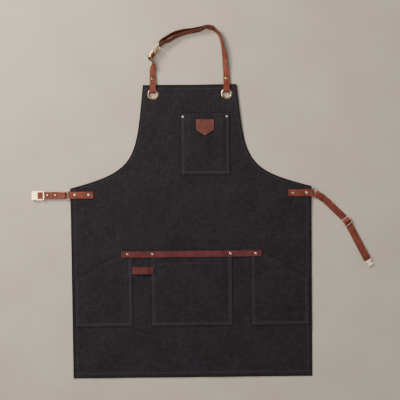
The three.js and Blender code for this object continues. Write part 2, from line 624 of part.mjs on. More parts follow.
{
  const r = RIGHT_STRAP;
  const reach = SLIDER.length / 2;
  const pieces = [
    { length: r.bendFrom },
    { length: r.bendLength, turn: -r.bend },
    { length: r.slider - r.turnLength / 2 - r.bendFrom - r.bendLength },
    { length: r.turnLength, turn: -r.turn },
    { length: 1000 },
  ];
  const strapAt = (s) => walk({ x: bowCentreX, y: TAB.y }, r.heading, pieces, s);
  const sliderZ = 2.6 - SANDWICH;
  const plateFold = foldRound(Math.hypot(PLATE.bar, PLATE.thick) / 2, LEATHER);
  const plateZ = FLOOR + plateFold + LEATHER / 2 - SANDWICH;
  const over = SLIDER.thick / 2 + SLIDER.clear + LEATHER / 2;
  const barAt = reach - SLIDER.wire / 2;
  const under = sliderZ - over;
  const lower = under - LEATHER - LAYER_GAP;
  const twelve = Array.from({ length: 4 }, (_, i) => r.slider + reach + 12 + i * 20);
  const points = [
    [r.topPly, touching], [channelEnd + 10, touching], [channelEnd, ringPly],
    ...ringFoldPoints.slice().reverse(),
    [channelEnd, -ringPly], [channelEnd + 12, -touching], [46, -touching], [70, -touching],
    [r.slider - reach - 14, -touching], [r.slider - barAt - 3, under], [r.slider - barAt + 2.6, under + 0.2],
    [r.slider - 2.8, sliderZ + over - 0.3], [r.slider, sliderZ + over], [r.slider + 2.8, sliderZ + over - 0.3],
    [r.slider + barAt - 2.6, under + 0.2], [r.slider + barAt + 3, under],
    ...twelve.map((s) => [s, under]),
    [r.plate - 20, under + 0.3], [r.plate - 8, plateZ + plateFold - 0.4],
    ...arc(r.plate, plateZ, plateFold, 90, -90, 8),
    [r.plate - 8, plateZ - plateFold], [r.plate - 20, lower],
    ...twelve.slice().reverse().map((s) => [s, lower]),
    [r.slider + barAt + 3, lower], [r.slider + barAt - 1.6, lower],
    [r.slider + 3.4, sliderZ - over - 0.2], [r.slider, sliderZ - over], [r.slider - 2.5, sliderZ - over],
  ];
  const rows = points.map(([s, h]) => {
    const { at, angle } = strapAt(Math.max(s, 0));
    at.z = SANDWICH + h;
    return narrowed({ at, across: new THREE.Vector3(-Math.sin(angle), Math.cos(angle), 0) }, s);
  });
  apron.add(named('right_strap', ribbon(rows, BELT_WIDTH, LEATHER), LEATHER_TAN));

  const place = (mesh, s, z) => {
    const { at, angle } = strapAt(s);
    mesh.position.set(at.x, at.y, z);
    mesh.rotation.z = angle;
    apron.add(mesh);
  };
  place(slider('waist_slider', BELT_WIDTH), r.slider, SANDWICH + sliderZ);
  place(malePlate('waist_plate', BELT_WIDTH), r.plate, SANDWICH + plateZ);
}

// ---------------------------------------------------------------- grommets and neck loops

const LIP = 0.8;
const WASHER = 0.6;
const g = GROMMET;
const washerTop = -CAP_GAP;
const lipTop = washerTop - WASHER - 0.2;
for (const { side, x, y } of grommets) {
  const prefix = side < 0 ? 'left' : 'right';
  const base = FRONT + CAP_GAP;
  const face = lathe([
    [g.hole, lipTop - LIP], [g.hole + 2.4, lipTop - LIP], [g.hole + 2.6, lipTop],
    [g.hole + g.wall, lipTop], [g.hole + g.wall, base], [g.flange, base], [g.flange - 0.3, base + 0.9],
    [g.flange - 1.6, base + g.rise * 0.85], [(g.hole + g.flange) / 2, base + g.rise],
    [g.hole + 1, base + g.rise * 0.8], [g.hole, base + 0.8], [g.hole, lipTop - LIP],
  ], 24);
  const washer = lathe([
    [g.hole + g.wall + 0.3, washerTop - WASHER], [g.flange - 0.8, washerTop - WASHER],
    [g.flange - 0.8, washerTop], [g.hole + g.wall + 0.3, washerTop],
    [g.hole + g.wall + 0.3, washerTop - WASHER],
  ], 24);
  for (const [name, geometry] of [[`${prefix}_grommet`, face], [`${prefix}_grommet_washer`, washer]]) {
    const mesh = named(name, geometry, ANTIQUE_BRASS);
    mesh.position.set(x, y, 0);
    apron.add(mesh);
  }
}

const neckRivetY = BIB_HEIGHT + NECK_RIVET_ABOVE_BIB;
const hingeY = neckRivetY + NECK_HINGE_ABOVE_RIVET;
const neckTouch = LAYER_GAP / 2 + NECK_LEATHER / 2;
const overFlange = FRONT + CAP_GAP + g.rise + LAYER_GAP + NECK_LEATHER / 2;
const underLip = lipTop - LIP - LAYER_GAP - NECK_LEATHER / 2;
for (const { side, x, y } of grommets) {
  const prefix = side < 0 ? 'left' : 'right';
  const bend = 2.6;
  const diveY = y + Math.sqrt(g.hole ** 2 - (NECK_WIDTH / 2) ** 2) - 0.85 - NECK_LEATHER / 2;
  const end = hingeY - 1.4;
  const rows = sideRows(new THREE.Vector3(x, 0, 0), Y, Z, [
    [end, SANDWICH + neckTouch], [neckRivetY - 6, SANDWICH + neckTouch],
    [y + g.flange + 4, overFlange - 0.3], [y + g.flange - 2, overFlange],
    ...arc(diveY + bend, overFlange - bend, bend, 90, 180, 5),
    ...arc(diveY + bend, underLip + bend, bend, 180, 270, 5),
    [y + g.flange - 2, underLip], [y + g.flange + 4, underLip + 0.2],
    [neckRivetY - 6, SANDWICH - neckTouch], [end, SANDWICH - neckTouch],
  ]);
  apron.add(named(`${prefix}_neck_loop`, cut(
    ribbon(rows, NECK_WIDTH, NECK_LEATHER),
    [post(x, neckRivetY, rivetHole, -9, 9, 8)],
  ), LEATHER_TAN));
  const half = neckTouch + NECK_LEATHER / 2;
  addRivet(`${prefix}_neck_rivet`, { x, y: neckRivetY }, NECK_RIVET, SANDWICH - half, SANDWICH + half, ANTIQUE_BRASS);
}

// ---------------------------------------------------------------- neck strap, standing on edge

// The width direction of a strap that has turned from flat (0) to standing (1), leaning outwards.
function standing(turned, outward) {
  const angle = (turned * Math.PI) / 2;
  const up = new THREE.Vector3(outward.x, outward.y, 0).multiplyScalar(Math.sin(LEAN));
  up.z = Math.cos(LEAN);
  return up.multiplyScalar(Math.sin(angle)).addScaledVector(X, Math.cos(angle)).normalize();
}

const LOOP_CENTRE = new THREE.Vector2(2, hingeY + 16);
const outwardAt = (x, y) => new THREE.Vector2(x, y).sub(LOOP_CENTRE).normalize();

// Rows along a smooth line through points [x, y, z, turned, outward]: where a point names no outward direction,
// the strap leans away from the middle of the loop.
function neckRows(points, steps) {
  const line = new THREE.CatmullRomCurve3(
    points.map(([x, y, z]) => new THREE.Vector3(x, y, z)), false, 'centripetal');
  const last = points.length - 1;
  return Array.from({ length: steps + 1 }, (_, i) => {
    const t = (i / steps) * last;
    const knot = Math.min(Math.floor(t), last - 1);
    const share = THREE.MathUtils.smoothstep(t - knot, 0, 1);
    const [from, to] = [points[knot], points[knot + 1]];
    const outward = (from[4] ?? outwardAt(from[0], from[1])).clone()
      .lerp(to[4] ?? outwardAt(to[0], to[1]), share).normalize();
    const turned = THREE.MathUtils.lerp(from[3], to[3], share);
    return { at: line.getPoint(i / steps), across: standing(turned, outward) };
  });
}

const neckBuckleHeading = THREE.MathUtils.degToRad(52.5);
const buckleAlong = new THREE.Vector2(Math.cos(neckBuckleHeading), Math.sin(neckBuckleHeading));
const buckleOut = new THREE.Vector2(-buckleAlong.y, buckleAlong.x);
const NECK_BAR = new THREE.Vector3(
  2.5 - GROMMET.x, hingeY + 63, FLOOR + acrossOf(NECK_WIDTH).grip * Math.cos(LEAN) + 0.9);
const plateReach = BUCKLE.mouth + BUCKLE_PLAY + PLATE.base;
const neckPlateBar = NECK_BAR.clone()
  .add(new THREE.Vector3(buckleAlong.x, buckleAlong.y, 0).multiplyScalar(plateReach));
const SLIDER_PLACE = new THREE.Vector3(
  GROMMET.x - 38.7,
  hingeY + 135,
  FLOOR + (NECK_WIDTH / 2 + SLIDER.play + SLIDER.wire) * Math.cos(LEAN) + 0.6,
);
const sliderHeading = THREE.MathUtils.degToRad(150.6);
const STAND = FLOOR + (NECK_WIDTH / 2) * Math.cos(LEAN) + 0.5; // middle height of a strap on edge

// A frame for what stands on edge: x along the strap, y across it.
function onEdge(object, place, along, outward) {
  const across = standing(1, outward);
  const forward = new THREE.Vector3(along.x, along.y, 0);
  object.matrixAutoUpdate = false;
  object.matrix.makeBasis(forward, across, new THREE.Vector3().crossVectors(forward, across));
  object.matrix.setPosition(place);
  apron.add(object);
}

// A place beside a standing bar: distance along the strap, and sideways square to the leaning strap.
function besideBar(bar, along, outward, distance, sideways) {
  const level = sideways * Math.cos(LEAN);
  return new THREE.Vector3(
    bar.x + along.x * distance + outward.x * level,
    bar.y + along.y * distance + outward.y * level,
    bar.z - sideways * Math.sin(LEAN),
  );
}

const linePoint = (bar, along, outward) => (distance, sideways) =>
  [...besideBar(bar, along, outward, distance, sideways), 1, outward];

// Rows of the fold round a standing bar, from its outer side to its inner side.
function foldRows(bar, along, outward, fromAngle, toAngle) {
  return arc(0, 0, neckFold, fromAngle, toAngle, 8).map(([x, y]) => ({
    at: besideBar(bar, along, outward, x, y),
    across: standing(1, outward),
  }));
}

const neckFold = foldRound(Math.hypot(PLATE.bar, PLATE.thick) / 2, NECK_LEATHER);

{
  const x = -GROMMET.x;
  const byBar = linePoint(NECK_BAR, buckleAlong, buckleOut);
  const up = neckRows([
    [x, hingeY - 0.8, SANDWICH, 0],
    [x, hingeY + 12, SANDWICH, 0.05],
    [x + 0.5, hingeY + 25, 3, 0.34],
    [x + 0.2, hingeY + 38, NECK_BAR.z - 0.8, 0.78],
    byBar(-16.5, 1.3),
    byBar(-11, 1.8),
    byBar(-4, neckFold),
  ], 24);
  const round = foldRows(NECK_BAR, buckleAlong, buckleOut, 90, -90);
  const backPly = neckRows([
    byBar(-4, -neckFold),
    byBar(-11, -1.2),
    byBar(-16.5, -1.2),
    byBar(-22, -1.4),
  ], 6);
  apron.add(named('neck_short_strap', ribbon([...up, ...round, ...backPly], NECK_WIDTH, NECK_LEATHER), LEATHER_TAN));

  onEdge(femaleBuckle('neck', NECK_WIDTH), NECK_BAR, buckleAlong, buckleOut);
  onEdge(malePlate('neck_plate', NECK_WIDTH), neckPlateBar, buckleAlong.clone().negate(), buckleOut);
}

{
  const along = new THREE.Vector2(Math.cos(sliderHeading), Math.sin(sliderHeading));
  const out = new THREE.Vector2(along.y, -along.x);
  const offset = SLIDER.thick / 2 + SLIDER.clear + NECK_LEATHER / 2;
  const barAt = SLIDER.length / 2 - SLIDER.wire / 2;
  const bySlider = linePoint(SLIDER_PLACE, along, out);
  const byPlate = linePoint(neckPlateBar, buckleAlong, buckleOut);
  const x = GROMMET.x;
  const outer = neckRows([
    [x, hingeY - 0.8, SANDWICH, 0],
    [x - 0.5, hingeY + 12, SANDWICH, 0.04],
    [x - 2.5, hingeY + 30, 1.6, 0.35],
    [x - 5, hingeY + 55, 3.2, 0.65],
    [x - 11, hingeY + 88, STAND, 0.95],
    [x - 18.5, hingeY + 113, STAND + 1, 1],
    bySlider(-barAt - 5, -offset - 0.6),
    bySlider(-barAt, -offset),
    bySlider(-barAt + 3.2, -offset + 0.6),
    bySlider(-3, offset - 0.4),
    bySlider(0, offset),
    bySlider(3, offset - 0.4),
    bySlider(barAt - 3.2, -offset + 0.6),
    bySlider(barAt, -offset),
    bySlider(barAt + 5, -offset - 0.4),
    [32, hingeY + 135.5, STAND + 1, 1],
    [8, hingeY + 131.2, STAND, 1],
    [-14.4, hingeY + 129, STAND, 1],
    [-41, hingeY + 122.5, STAND + 0.6, 1],
    [-63.8, hingeY + 109.9, STAND + 2.5, 1],
    byPlate(11, neckFold + 0.4),
    byPlate(4, neckFold),
  ], 76);
  const round = foldRows(neckPlateBar, buckleAlong, buckleOut, 90, 270);
  const inner = neckRows([
    byPlate(4, -neckFold),
    byPlate(11, -neckFold - 2.2),
    [-59.5, hingeY + 99.5, STAND + 2.5, 1],
    [-42.5, hingeY + 109.5, STAND + 0.6, 1],
    [-17.5, hingeY + 119.5, STAND, 1],
    [6, hingeY + 125, STAND, 1],
    [32, hingeY + 130, STAND + 1, 1],
    bySlider(barAt + 5, -2 * offset - 0.4),
    bySlider(barAt, -2 * offset),
    bySlider(barAt - 3.2, -2 * offset + 0.4),
    bySlider(3, -offset - 0.2),
    bySlider(-2.5, -offset),
  ], 38);
  apron.add(named('neck_long_strap', ribbon([...outer, ...round, ...inner], NECK_WIDTH, NECK_LEATHER), LEATHER_TAN));
  onEdge(slider('neck_slider', NECK_WIDTH), SLIDER_PLACE, along, out);
}

export default apron;
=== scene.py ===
# %% [markdown]
# # A work apron, laid flat
# The solid frame gives every strap, ring, rivet and buckle its place. This script dresses it: the canvas
# becomes a fine sheet that settles onto the floor between its fittings, the pockets are sewn on, the leather
# gets soft edges and grain, and the metal gets turned and rounded shapes. Lengths are in metres; `MM` turns
# millimetres into metres.

import json
import math

import bmesh
import bpy
import numpy as np
from mathutils import Matrix, Vector
from mathutils.bvhtree import BVHTree
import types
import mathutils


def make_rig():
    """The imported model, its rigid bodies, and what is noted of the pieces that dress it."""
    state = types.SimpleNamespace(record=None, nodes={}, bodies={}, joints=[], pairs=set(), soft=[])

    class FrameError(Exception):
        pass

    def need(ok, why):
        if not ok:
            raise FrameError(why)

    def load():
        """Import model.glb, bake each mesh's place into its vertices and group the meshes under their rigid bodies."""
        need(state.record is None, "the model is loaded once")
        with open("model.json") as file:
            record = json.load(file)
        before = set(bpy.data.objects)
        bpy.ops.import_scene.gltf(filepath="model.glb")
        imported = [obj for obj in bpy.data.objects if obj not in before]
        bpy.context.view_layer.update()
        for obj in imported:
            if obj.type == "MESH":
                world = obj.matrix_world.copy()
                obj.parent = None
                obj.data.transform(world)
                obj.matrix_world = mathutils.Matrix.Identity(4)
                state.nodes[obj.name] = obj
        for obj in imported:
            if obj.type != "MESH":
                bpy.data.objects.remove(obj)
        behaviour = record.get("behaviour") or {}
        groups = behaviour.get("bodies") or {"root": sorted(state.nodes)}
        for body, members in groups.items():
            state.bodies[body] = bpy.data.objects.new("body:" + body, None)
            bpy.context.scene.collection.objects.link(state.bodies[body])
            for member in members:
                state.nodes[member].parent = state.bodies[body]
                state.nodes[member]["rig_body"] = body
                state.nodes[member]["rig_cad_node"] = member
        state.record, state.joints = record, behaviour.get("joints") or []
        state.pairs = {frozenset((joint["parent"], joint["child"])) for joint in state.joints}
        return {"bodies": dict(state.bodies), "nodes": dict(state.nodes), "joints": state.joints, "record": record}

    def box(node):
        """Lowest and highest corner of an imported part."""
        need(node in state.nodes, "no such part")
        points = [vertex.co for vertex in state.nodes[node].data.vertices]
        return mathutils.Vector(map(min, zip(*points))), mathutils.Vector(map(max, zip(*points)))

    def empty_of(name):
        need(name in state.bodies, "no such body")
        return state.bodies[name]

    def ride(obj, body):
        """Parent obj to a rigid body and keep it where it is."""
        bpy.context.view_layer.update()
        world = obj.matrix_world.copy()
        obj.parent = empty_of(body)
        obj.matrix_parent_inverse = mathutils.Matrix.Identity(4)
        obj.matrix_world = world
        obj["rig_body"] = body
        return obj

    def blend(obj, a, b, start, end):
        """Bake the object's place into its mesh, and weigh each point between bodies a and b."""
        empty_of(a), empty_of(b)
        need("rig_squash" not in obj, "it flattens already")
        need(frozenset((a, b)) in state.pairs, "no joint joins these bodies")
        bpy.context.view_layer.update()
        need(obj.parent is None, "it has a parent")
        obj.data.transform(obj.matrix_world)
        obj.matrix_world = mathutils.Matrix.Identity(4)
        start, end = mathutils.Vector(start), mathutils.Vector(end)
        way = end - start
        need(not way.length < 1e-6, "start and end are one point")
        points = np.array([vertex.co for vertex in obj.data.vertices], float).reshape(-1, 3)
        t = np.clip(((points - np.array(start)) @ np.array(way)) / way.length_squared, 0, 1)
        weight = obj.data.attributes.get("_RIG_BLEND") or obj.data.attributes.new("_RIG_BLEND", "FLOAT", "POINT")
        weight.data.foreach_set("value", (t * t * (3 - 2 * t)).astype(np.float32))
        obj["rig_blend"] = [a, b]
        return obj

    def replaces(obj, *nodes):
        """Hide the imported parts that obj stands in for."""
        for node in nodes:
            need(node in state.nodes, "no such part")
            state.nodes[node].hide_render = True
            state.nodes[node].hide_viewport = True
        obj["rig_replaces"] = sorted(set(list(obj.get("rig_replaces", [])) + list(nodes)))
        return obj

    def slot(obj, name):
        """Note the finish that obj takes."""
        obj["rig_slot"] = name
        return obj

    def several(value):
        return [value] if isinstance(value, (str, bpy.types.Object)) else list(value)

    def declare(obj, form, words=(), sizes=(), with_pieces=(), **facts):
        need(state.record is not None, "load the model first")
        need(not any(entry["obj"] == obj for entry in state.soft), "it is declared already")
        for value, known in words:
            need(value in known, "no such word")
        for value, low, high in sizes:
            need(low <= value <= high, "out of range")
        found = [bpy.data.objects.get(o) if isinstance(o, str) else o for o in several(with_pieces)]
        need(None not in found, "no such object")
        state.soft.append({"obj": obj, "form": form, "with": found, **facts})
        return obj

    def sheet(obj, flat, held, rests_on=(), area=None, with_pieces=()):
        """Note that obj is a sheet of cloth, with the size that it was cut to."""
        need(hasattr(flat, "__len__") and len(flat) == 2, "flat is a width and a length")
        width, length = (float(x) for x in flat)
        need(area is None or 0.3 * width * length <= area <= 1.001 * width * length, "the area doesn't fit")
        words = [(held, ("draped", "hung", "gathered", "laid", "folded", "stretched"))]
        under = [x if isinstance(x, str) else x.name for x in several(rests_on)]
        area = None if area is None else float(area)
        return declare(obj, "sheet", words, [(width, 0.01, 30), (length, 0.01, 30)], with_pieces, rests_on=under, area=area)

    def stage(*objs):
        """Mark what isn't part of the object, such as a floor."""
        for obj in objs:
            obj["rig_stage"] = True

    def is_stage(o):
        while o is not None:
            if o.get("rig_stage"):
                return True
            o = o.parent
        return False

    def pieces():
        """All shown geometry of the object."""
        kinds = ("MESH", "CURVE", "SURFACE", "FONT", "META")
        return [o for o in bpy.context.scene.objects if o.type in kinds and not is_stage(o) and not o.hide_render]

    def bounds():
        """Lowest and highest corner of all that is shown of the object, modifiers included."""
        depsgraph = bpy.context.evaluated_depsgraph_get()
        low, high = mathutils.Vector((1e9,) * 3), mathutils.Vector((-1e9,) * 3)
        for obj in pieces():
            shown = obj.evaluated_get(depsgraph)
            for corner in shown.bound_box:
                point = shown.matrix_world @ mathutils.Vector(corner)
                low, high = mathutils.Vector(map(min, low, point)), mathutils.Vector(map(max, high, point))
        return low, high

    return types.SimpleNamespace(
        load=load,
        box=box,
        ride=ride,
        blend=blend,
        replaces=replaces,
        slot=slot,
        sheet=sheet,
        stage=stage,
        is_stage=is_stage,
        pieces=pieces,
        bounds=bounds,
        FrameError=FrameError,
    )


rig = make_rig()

MM = 0.001
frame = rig.load()
cad = frame["nodes"]
size_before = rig.bounds()
print("bodies", len(frame["bodies"]), "nodes", len(cad))

# %% [markdown]
# ## Camera
# It looks straight down from two metres up, turned a little, with the apron filling the frame.

# %% Camera
FLOOR = -4.25 * MM
camera_data = bpy.data.cameras.new("camera")
camera = bpy.data.objects.new("camera", camera_data)
bpy.context.scene.collection.objects.link(camera)
camera.location = (26.4 * MM, -37.5 * MM, 2.0)
camera.rotation_euler = (0, 0, math.radians(-0.65))
camera_data.sensor_width = 36
# The view is SPAN metres across where the cloth lies, AWAY metres below the camera.
AWAY, SPAN = 2.004, 1.164
camera_data.lens = camera_data.sensor_width * AWAY / SPAN
bpy.context.scene.camera = camera

# %% [markdown]
# ## Materials
# Each finish is a small node tree on object coordinates, so that the grain and the weave keep their real
# size. `add` makes one node and joins its inputs by name.

# %% Material helpers


def srgb(code):
    """A hex colour turned linear, with alpha."""
    channels = [int(code[i : i + 2], 16) / 255 for i in (1, 3, 5)]
    linear = [c / 12.92 if c <= 0.04045 else ((c + 0.055) / 1.055) ** 2.4 for c in channels]
    return (*linear, 1)


def add(tree, kind, settings=None, **inputs):
    node = tree.nodes.new(kind)
    for name, value in (settings or {}).items():
        setattr(node, name, value)
    for name, value in inputs.items():
        socket = node.inputs[int(name[1:])] if name[1:].isdigit() else node.inputs[name.replace("_", " ")]
        if isinstance(value, bpy.types.NodeSocket):
            tree.links.new(value, socket)
        else:
            socket.default_value = value
    return node


def start(name, **surface):
    """A new material with its tree, shader and object coordinates."""
    material = bpy.data.materials.new(name)
    material.use_nodes = True
    tree = material.node_tree
    shader = tree.nodes["Principled BSDF"]
    for key, value in surface.items():
        shader.inputs[key.replace("_", " ")].default_value = value
    place = add(tree, "ShaderNodeTexCoord").outputs["Object"]
    return material, tree, shader, place


def ramp(tree, factor, *stops):
    """Colours or grey levels at places from 0 to 1."""
    node = add(tree, "ShaderNodeValToRGB", Fac=factor)
    band = node.color_ramp
    while len(band.elements) < len(stops):
        band.elements.new(0.5)
    for element, (at, colour) in zip(band.elements, stops):
        element.position = at
        element.color = srgb(colour) if isinstance(colour, str) else (colour, colour, colour, 1)
    return node.outputs["Color"]


def noise(tree, place, scale, detail=3.0, roughness=0.55, stretch=None):
    if stretch:
        place = add(tree, "ShaderNodeMapping", Vector=place, Scale=stretch).outputs["Vector"]
    node = add(tree, "ShaderNodeTexNoise", Vector=place, Scale=scale, Detail=detail, Roughness=roughness)
    return node.outputs["Fac"]


def maths(tree, operation, a, b=0.0):
    return add(tree, "ShaderNodeMath", {"operation": operation}, _0=a, _1=b).outputs["Value"]


def bump(tree, shader, height, depth, strength=1.0, over=None):
    """Bumps of real depth, in metres, on top of any coarser ones."""
    node = add(tree, "ShaderNodeBump", Height=height, Distance=depth, Strength=strength)
    if over:
        tree.links.new(over, node.inputs["Normal"])
    tree.links.new(node.outputs["Normal"], shader.inputs["Normal"])
    return node.outputs["Normal"]


def blended(tree, factor, a, b):
    """Colour a turning into colour b as the factor goes from 0 to 1."""
    mix = add(tree, "ShaderNodeMix", {"data_type": "RGBA"}, _0=factor)
    for socket, value in ((mix.inputs[6], a), (mix.inputs[7], b)):
        if isinstance(value, bpy.types.NodeSocket):
            tree.links.new(value, socket)
        else:
            socket.default_value = srgb(value)
    return mix.outputs[2]


# %% [markdown]
# ### Canvas
# A tight weave: warp and weft threads 0.8 mm apart, with lint, thicker and thinner threads, and a washed
# unevenness over larger patches. Two values kept on the cloth say where it is rubbed pale, along its seams,
# and where it lies in shadow, beside each pocket and at its own edge.

# %% Canvas material


def canvas_material(name, dark, light, worn, sunk):
    material, tree, shader, place = start(name, Roughness=0.9, Sheen_Weight=0.1, Sheen_Roughness=0.5)
    shader.inputs["Specular IOR Level"].default_value = 0.25
    wobble = noise(tree, place, 90, 2)
    parts = add(tree, "ShaderNodeSeparateXYZ", Vector=place).outputs
    turns = 2 * math.pi / (0.8 * MM)
    sway = maths(tree, "MULTIPLY", wobble, 2.2)
    warp = maths(tree, "SINE", maths(tree, "ADD", maths(tree, "MULTIPLY", parts["X"], turns), sway))
    weft = maths(tree, "SINE", maths(tree, "ADD", maths(tree, "MULTIPLY", parts["Y"], turns), sway))
    weave = maths(tree, "ADD", maths(tree, "MULTIPLY", maths(tree, "MULTIPLY", warp, weft), 0.5), 0.5)
    lint = noise(tree, place, 1400, 2, 0.7)
    patches = noise(tree, place, 13, 4, 0.6)
    slubs = noise(tree, place, 210, 3, 0.7, (1, 0.28, 1))
    cross = noise(tree, place, 230, 3, 0.7, (0.28, 1, 1))
    mix = maths(tree, "ADD", maths(tree, "MULTIPLY", weave, 0.2), maths(tree, "MULTIPLY", lint, 0.25))
    mix = maths(tree, "ADD", mix, maths(tree, "MULTIPLY", patches, 0.26))
    mix = maths(tree, "ADD", mix, maths(tree, "MULTIPLY", slubs, 0.45))
    mix = maths(tree, "ADD", mix, maths(tree, "MULTIPLY", cross, 0.45))
    colour = ramp(tree, mix, (0.62, dark), (0.96, light))
    rubbed = add(tree, "ShaderNodeAttribute", {"attribute_name": "wear"}).outputs["Fac"]
    patchy = ramp(tree, noise(tree, place, 120, 4, 0.65), (0.3, 0.35), (0.62, 1.0))
    colour = blended(tree, maths(tree, "MULTIPLY", rubbed, patchy), colour, worn)
    # Painted shade: the second attribute darkens the cloth towards the shade colour beside each pocket and along its
    # edge.
    painted_shade_amount = add(tree, "ShaderNodeAttribute", {"attribute_name": "sunk"}).outputs["Fac"]
    colour = blended(tree, painted_shade_amount, colour, sunk)
    tree.links.new(colour, shader.inputs["Base Color"])
    small = maths(tree, "MULTIPLY", noise(tree, place, 85, 3, 0.6), 0.35)
    soft = maths(tree, "ADD", noise(tree, place, 26, 3, 0.55), small)
    coarse = bump(tree, shader, soft, 5 * MM, 0.8)
    bump(tree, shader, maths(tree, "ADD", weave, maths(tree, "MULTIPLY", lint, 0.7)), 0.22 * MM, 0.8, coarse)
    return material


# The last colour is the painted shade, laid beside the pockets and along the canvas's edge.
canvas = canvas_material("canvas", "#19161a", "#302b32", "#443e46", "#0d0b0e")
thread = start("thread", Base_Color=srgb("#4b454d"), Roughness=0.75)[0]

# %% [markdown]
# ### Leather
# Waxed leather: pores and fine creases, darker and lighter patches where it has been handled, and a
# separate darker finish on the cut edges.

# %% Leather material


def leather_material(name, dark, middle, light, gloss=0.5):
    material, tree, shader, place = start(name, Specular_IOR_Level=0.35)
    patches = noise(tree, place, 55, 5, 0.62)
    streaks = noise(tree, place, 160, 3, 0.6)
    tone = maths(tree, "ADD", maths(tree, "MULTIPLY", patches, 0.7), maths(tree, "MULTIPLY", streaks, 0.3))
    tree.links.new(ramp(tree, tone, (0.3, dark), (0.5, middle), (0.72, light)), shader.inputs["Base Color"])
    pores = add(
        tree, "ShaderNodeTexVoronoi", {"feature": "SMOOTH_F1"}, Vector=place, Scale=1100.0, Smoothness=0.4)
    creases = noise(tree, place, 420, 4, 0.6)
    height = maths(tree, "ADD", maths(tree, "MULTIPLY", pores.outputs["Distance"], 0.6), creases)
    bump(tree, shader, height, 0.12 * MM, 0.7)
    tree.links.new(ramp(tree, streaks, (0.3, gloss - 0.08), (0.7, gloss + 0.14)), shader.inputs["Roughness"])
    return material


tan = leather_material("tan_leather", "#4f2116", "#783726", "#944b36")
brown = leather_material("brown_leather", "#411818", "#5c2525", "#713332", 0.54)
badge_leather = leather_material("badge_leather", "#4e2820", "#6d3a31", "#824d41", 0.54)


def edge_material(name, dark, light):
    """A cut edge: fibres in layers, waxed dark."""
    material, tree, shader, place = start(name, Roughness=0.6)
    fibres = noise(tree, place, 500, 4, 0.7)
    tree.links.new(ramp(tree, fibres, (0.35, dark), (0.7, light)), shader.inputs["Base Color"])
    bump(tree, shader, fibres, 0.1 * MM, 0.6)
    return material


tan_edge = edge_material("tan_edge", "#3a1c14", "#6b3d2b")
brown_edge = edge_material("brown_edge", "#24110e", "#43221c")

# %% [markdown]
# ### Metal
# Antiqued brass is patchy and dark, rose brass is warmer, the pale plating is satin, the small rivets on
# the chest are polished nickel, and the hidden springs and pins are steel. Fine scratches keep them from
# looking new.

# %% Metal material


def metal_material(name, dark, light, rough, grain=900):
    material, tree, shader, place = start(name, Metallic=1.0)
    wear = noise(tree, place, 120, 1, 0.4)
    scratches = noise(tree, place, grain, 3, 0.6, (1, 6, 1))
    tree.links.new(ramp(tree, wear, (0.35, dark), (0.62, light)), shader.inputs["Base Color"])
    roughness = ramp(tree, scratches, (0.3, rough - 0.02), (0.75, rough + 0.04))
    tree.links.new(roughness, shader.inputs["Roughness"])
    bump(tree, shader, scratches, 0.004 * MM, 0.35)
    return material


antique = metal_material("antique_brass", "#806548", "#d6bd94", 0.26)
copper = metal_material("rose_brass", "#c0917a", "#f3cdb6", 0.26)
pale_gold = metal_material("pale_gold", "#e4cd9c", "#f0deb4", 0.2)
nickel = metal_material("nickel", "#b9b4ad", "#e4e1dc", 0.2)
steel = metal_material("spring_steel", "#77777a", "#b4b4b6", 0.3)

# %% [markdown]
# ## Mesh helpers
# Every new piece ends as a closed mesh in its own object at the origin. `finished` shades it smooth with
# crisp corners, gives it its finishes and says which body it rides on. `merged` copies frame shapes,
# `rounded` softens their edges and `turned` makes a round part from a profile.

# %% Mesh helpers


def weigh_normals(mesh):
    """Lets the large faces set the shading, so that flats stay flat beside rounded edges."""
    total = np.zeros((len(mesh.vertices), 3))
    for face in mesh.polygons:
        total[list(face.vertices)] += np.array(face.normal) * face.area
    total /= np.maximum(np.linalg.norm(total, axis=1), 1e-20)[:, None]
    mesh.normals_split_custom_set_from_vertices(total.tolist())


def finished(bm, name, body, slot, materials, replaces=(), angle=38, weighed=False):
    """The mesh as an object on its body, standing for the named frame nodes."""
    mesh = bpy.data.meshes.new(name)
    bm.to_mesh(mesh)
    bm.free()
    mesh.shade_smooth()
    mesh.set_sharp_from_angle(angle=math.radians(angle))
    if weighed:
        weigh_normals(mesh)
    for material in materials:
        mesh.materials.append(material)
    piece = bpy.data.objects.new(name, mesh)
    bpy.context.scene.collection.objects.link(piece)
    if body:
        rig.ride(piece, body)
    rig.slot(piece, slot)
    if replaces:
        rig.replaces(piece, *replaces)
    return piece


def shaded(piece, wear, sunk):
    """How rubbed the cloth is and how much shade is painted on it at each point, from 0 to 1, as two attributes its
    finish reads.
    """
    spots = np.array([v.co[:2] for v in piece.data.vertices])
    for name, amount in (("wear", wear), ("sunk", sunk)):
        values = np.clip(amount(spots[:, 0], spots[:, 1]), 0, 1).astype(np.float32)
        piece.data.attributes.new(name, "FLOAT", "POINT").data.foreach_set("value", values)


def merged(*nodes):
    """Frame nodes in one bmesh, with their loose triangles joined and flat areas made whole."""
    bm = bmesh.new()
    for node in nodes:
        bm.from_mesh(cad[node].data)
    bmesh.ops.remove_doubles(bm, verts=bm.verts, dist=2e-6)
    bmesh.ops.dissolve_limit(bm, angle_limit=math.radians(0.4), verts=bm.verts, edges=bm.edges)
    return bm


def rounded(bm, width, segments=2, angle=50):
    """Bevels every edge sharper than the angle."""
    sharp = [e for e in bm.edges if len(e.link_faces) == 2 and e.calc_face_angle(0) > math.radians(angle)]
    bmesh.ops.bevel(
        bm, geom=sharp, offset=width, offset_type="OFFSET", segments=segments, profile=0.5,
        affect="EDGES", clamp_overlap=True, material=-1,
    )
    return bm


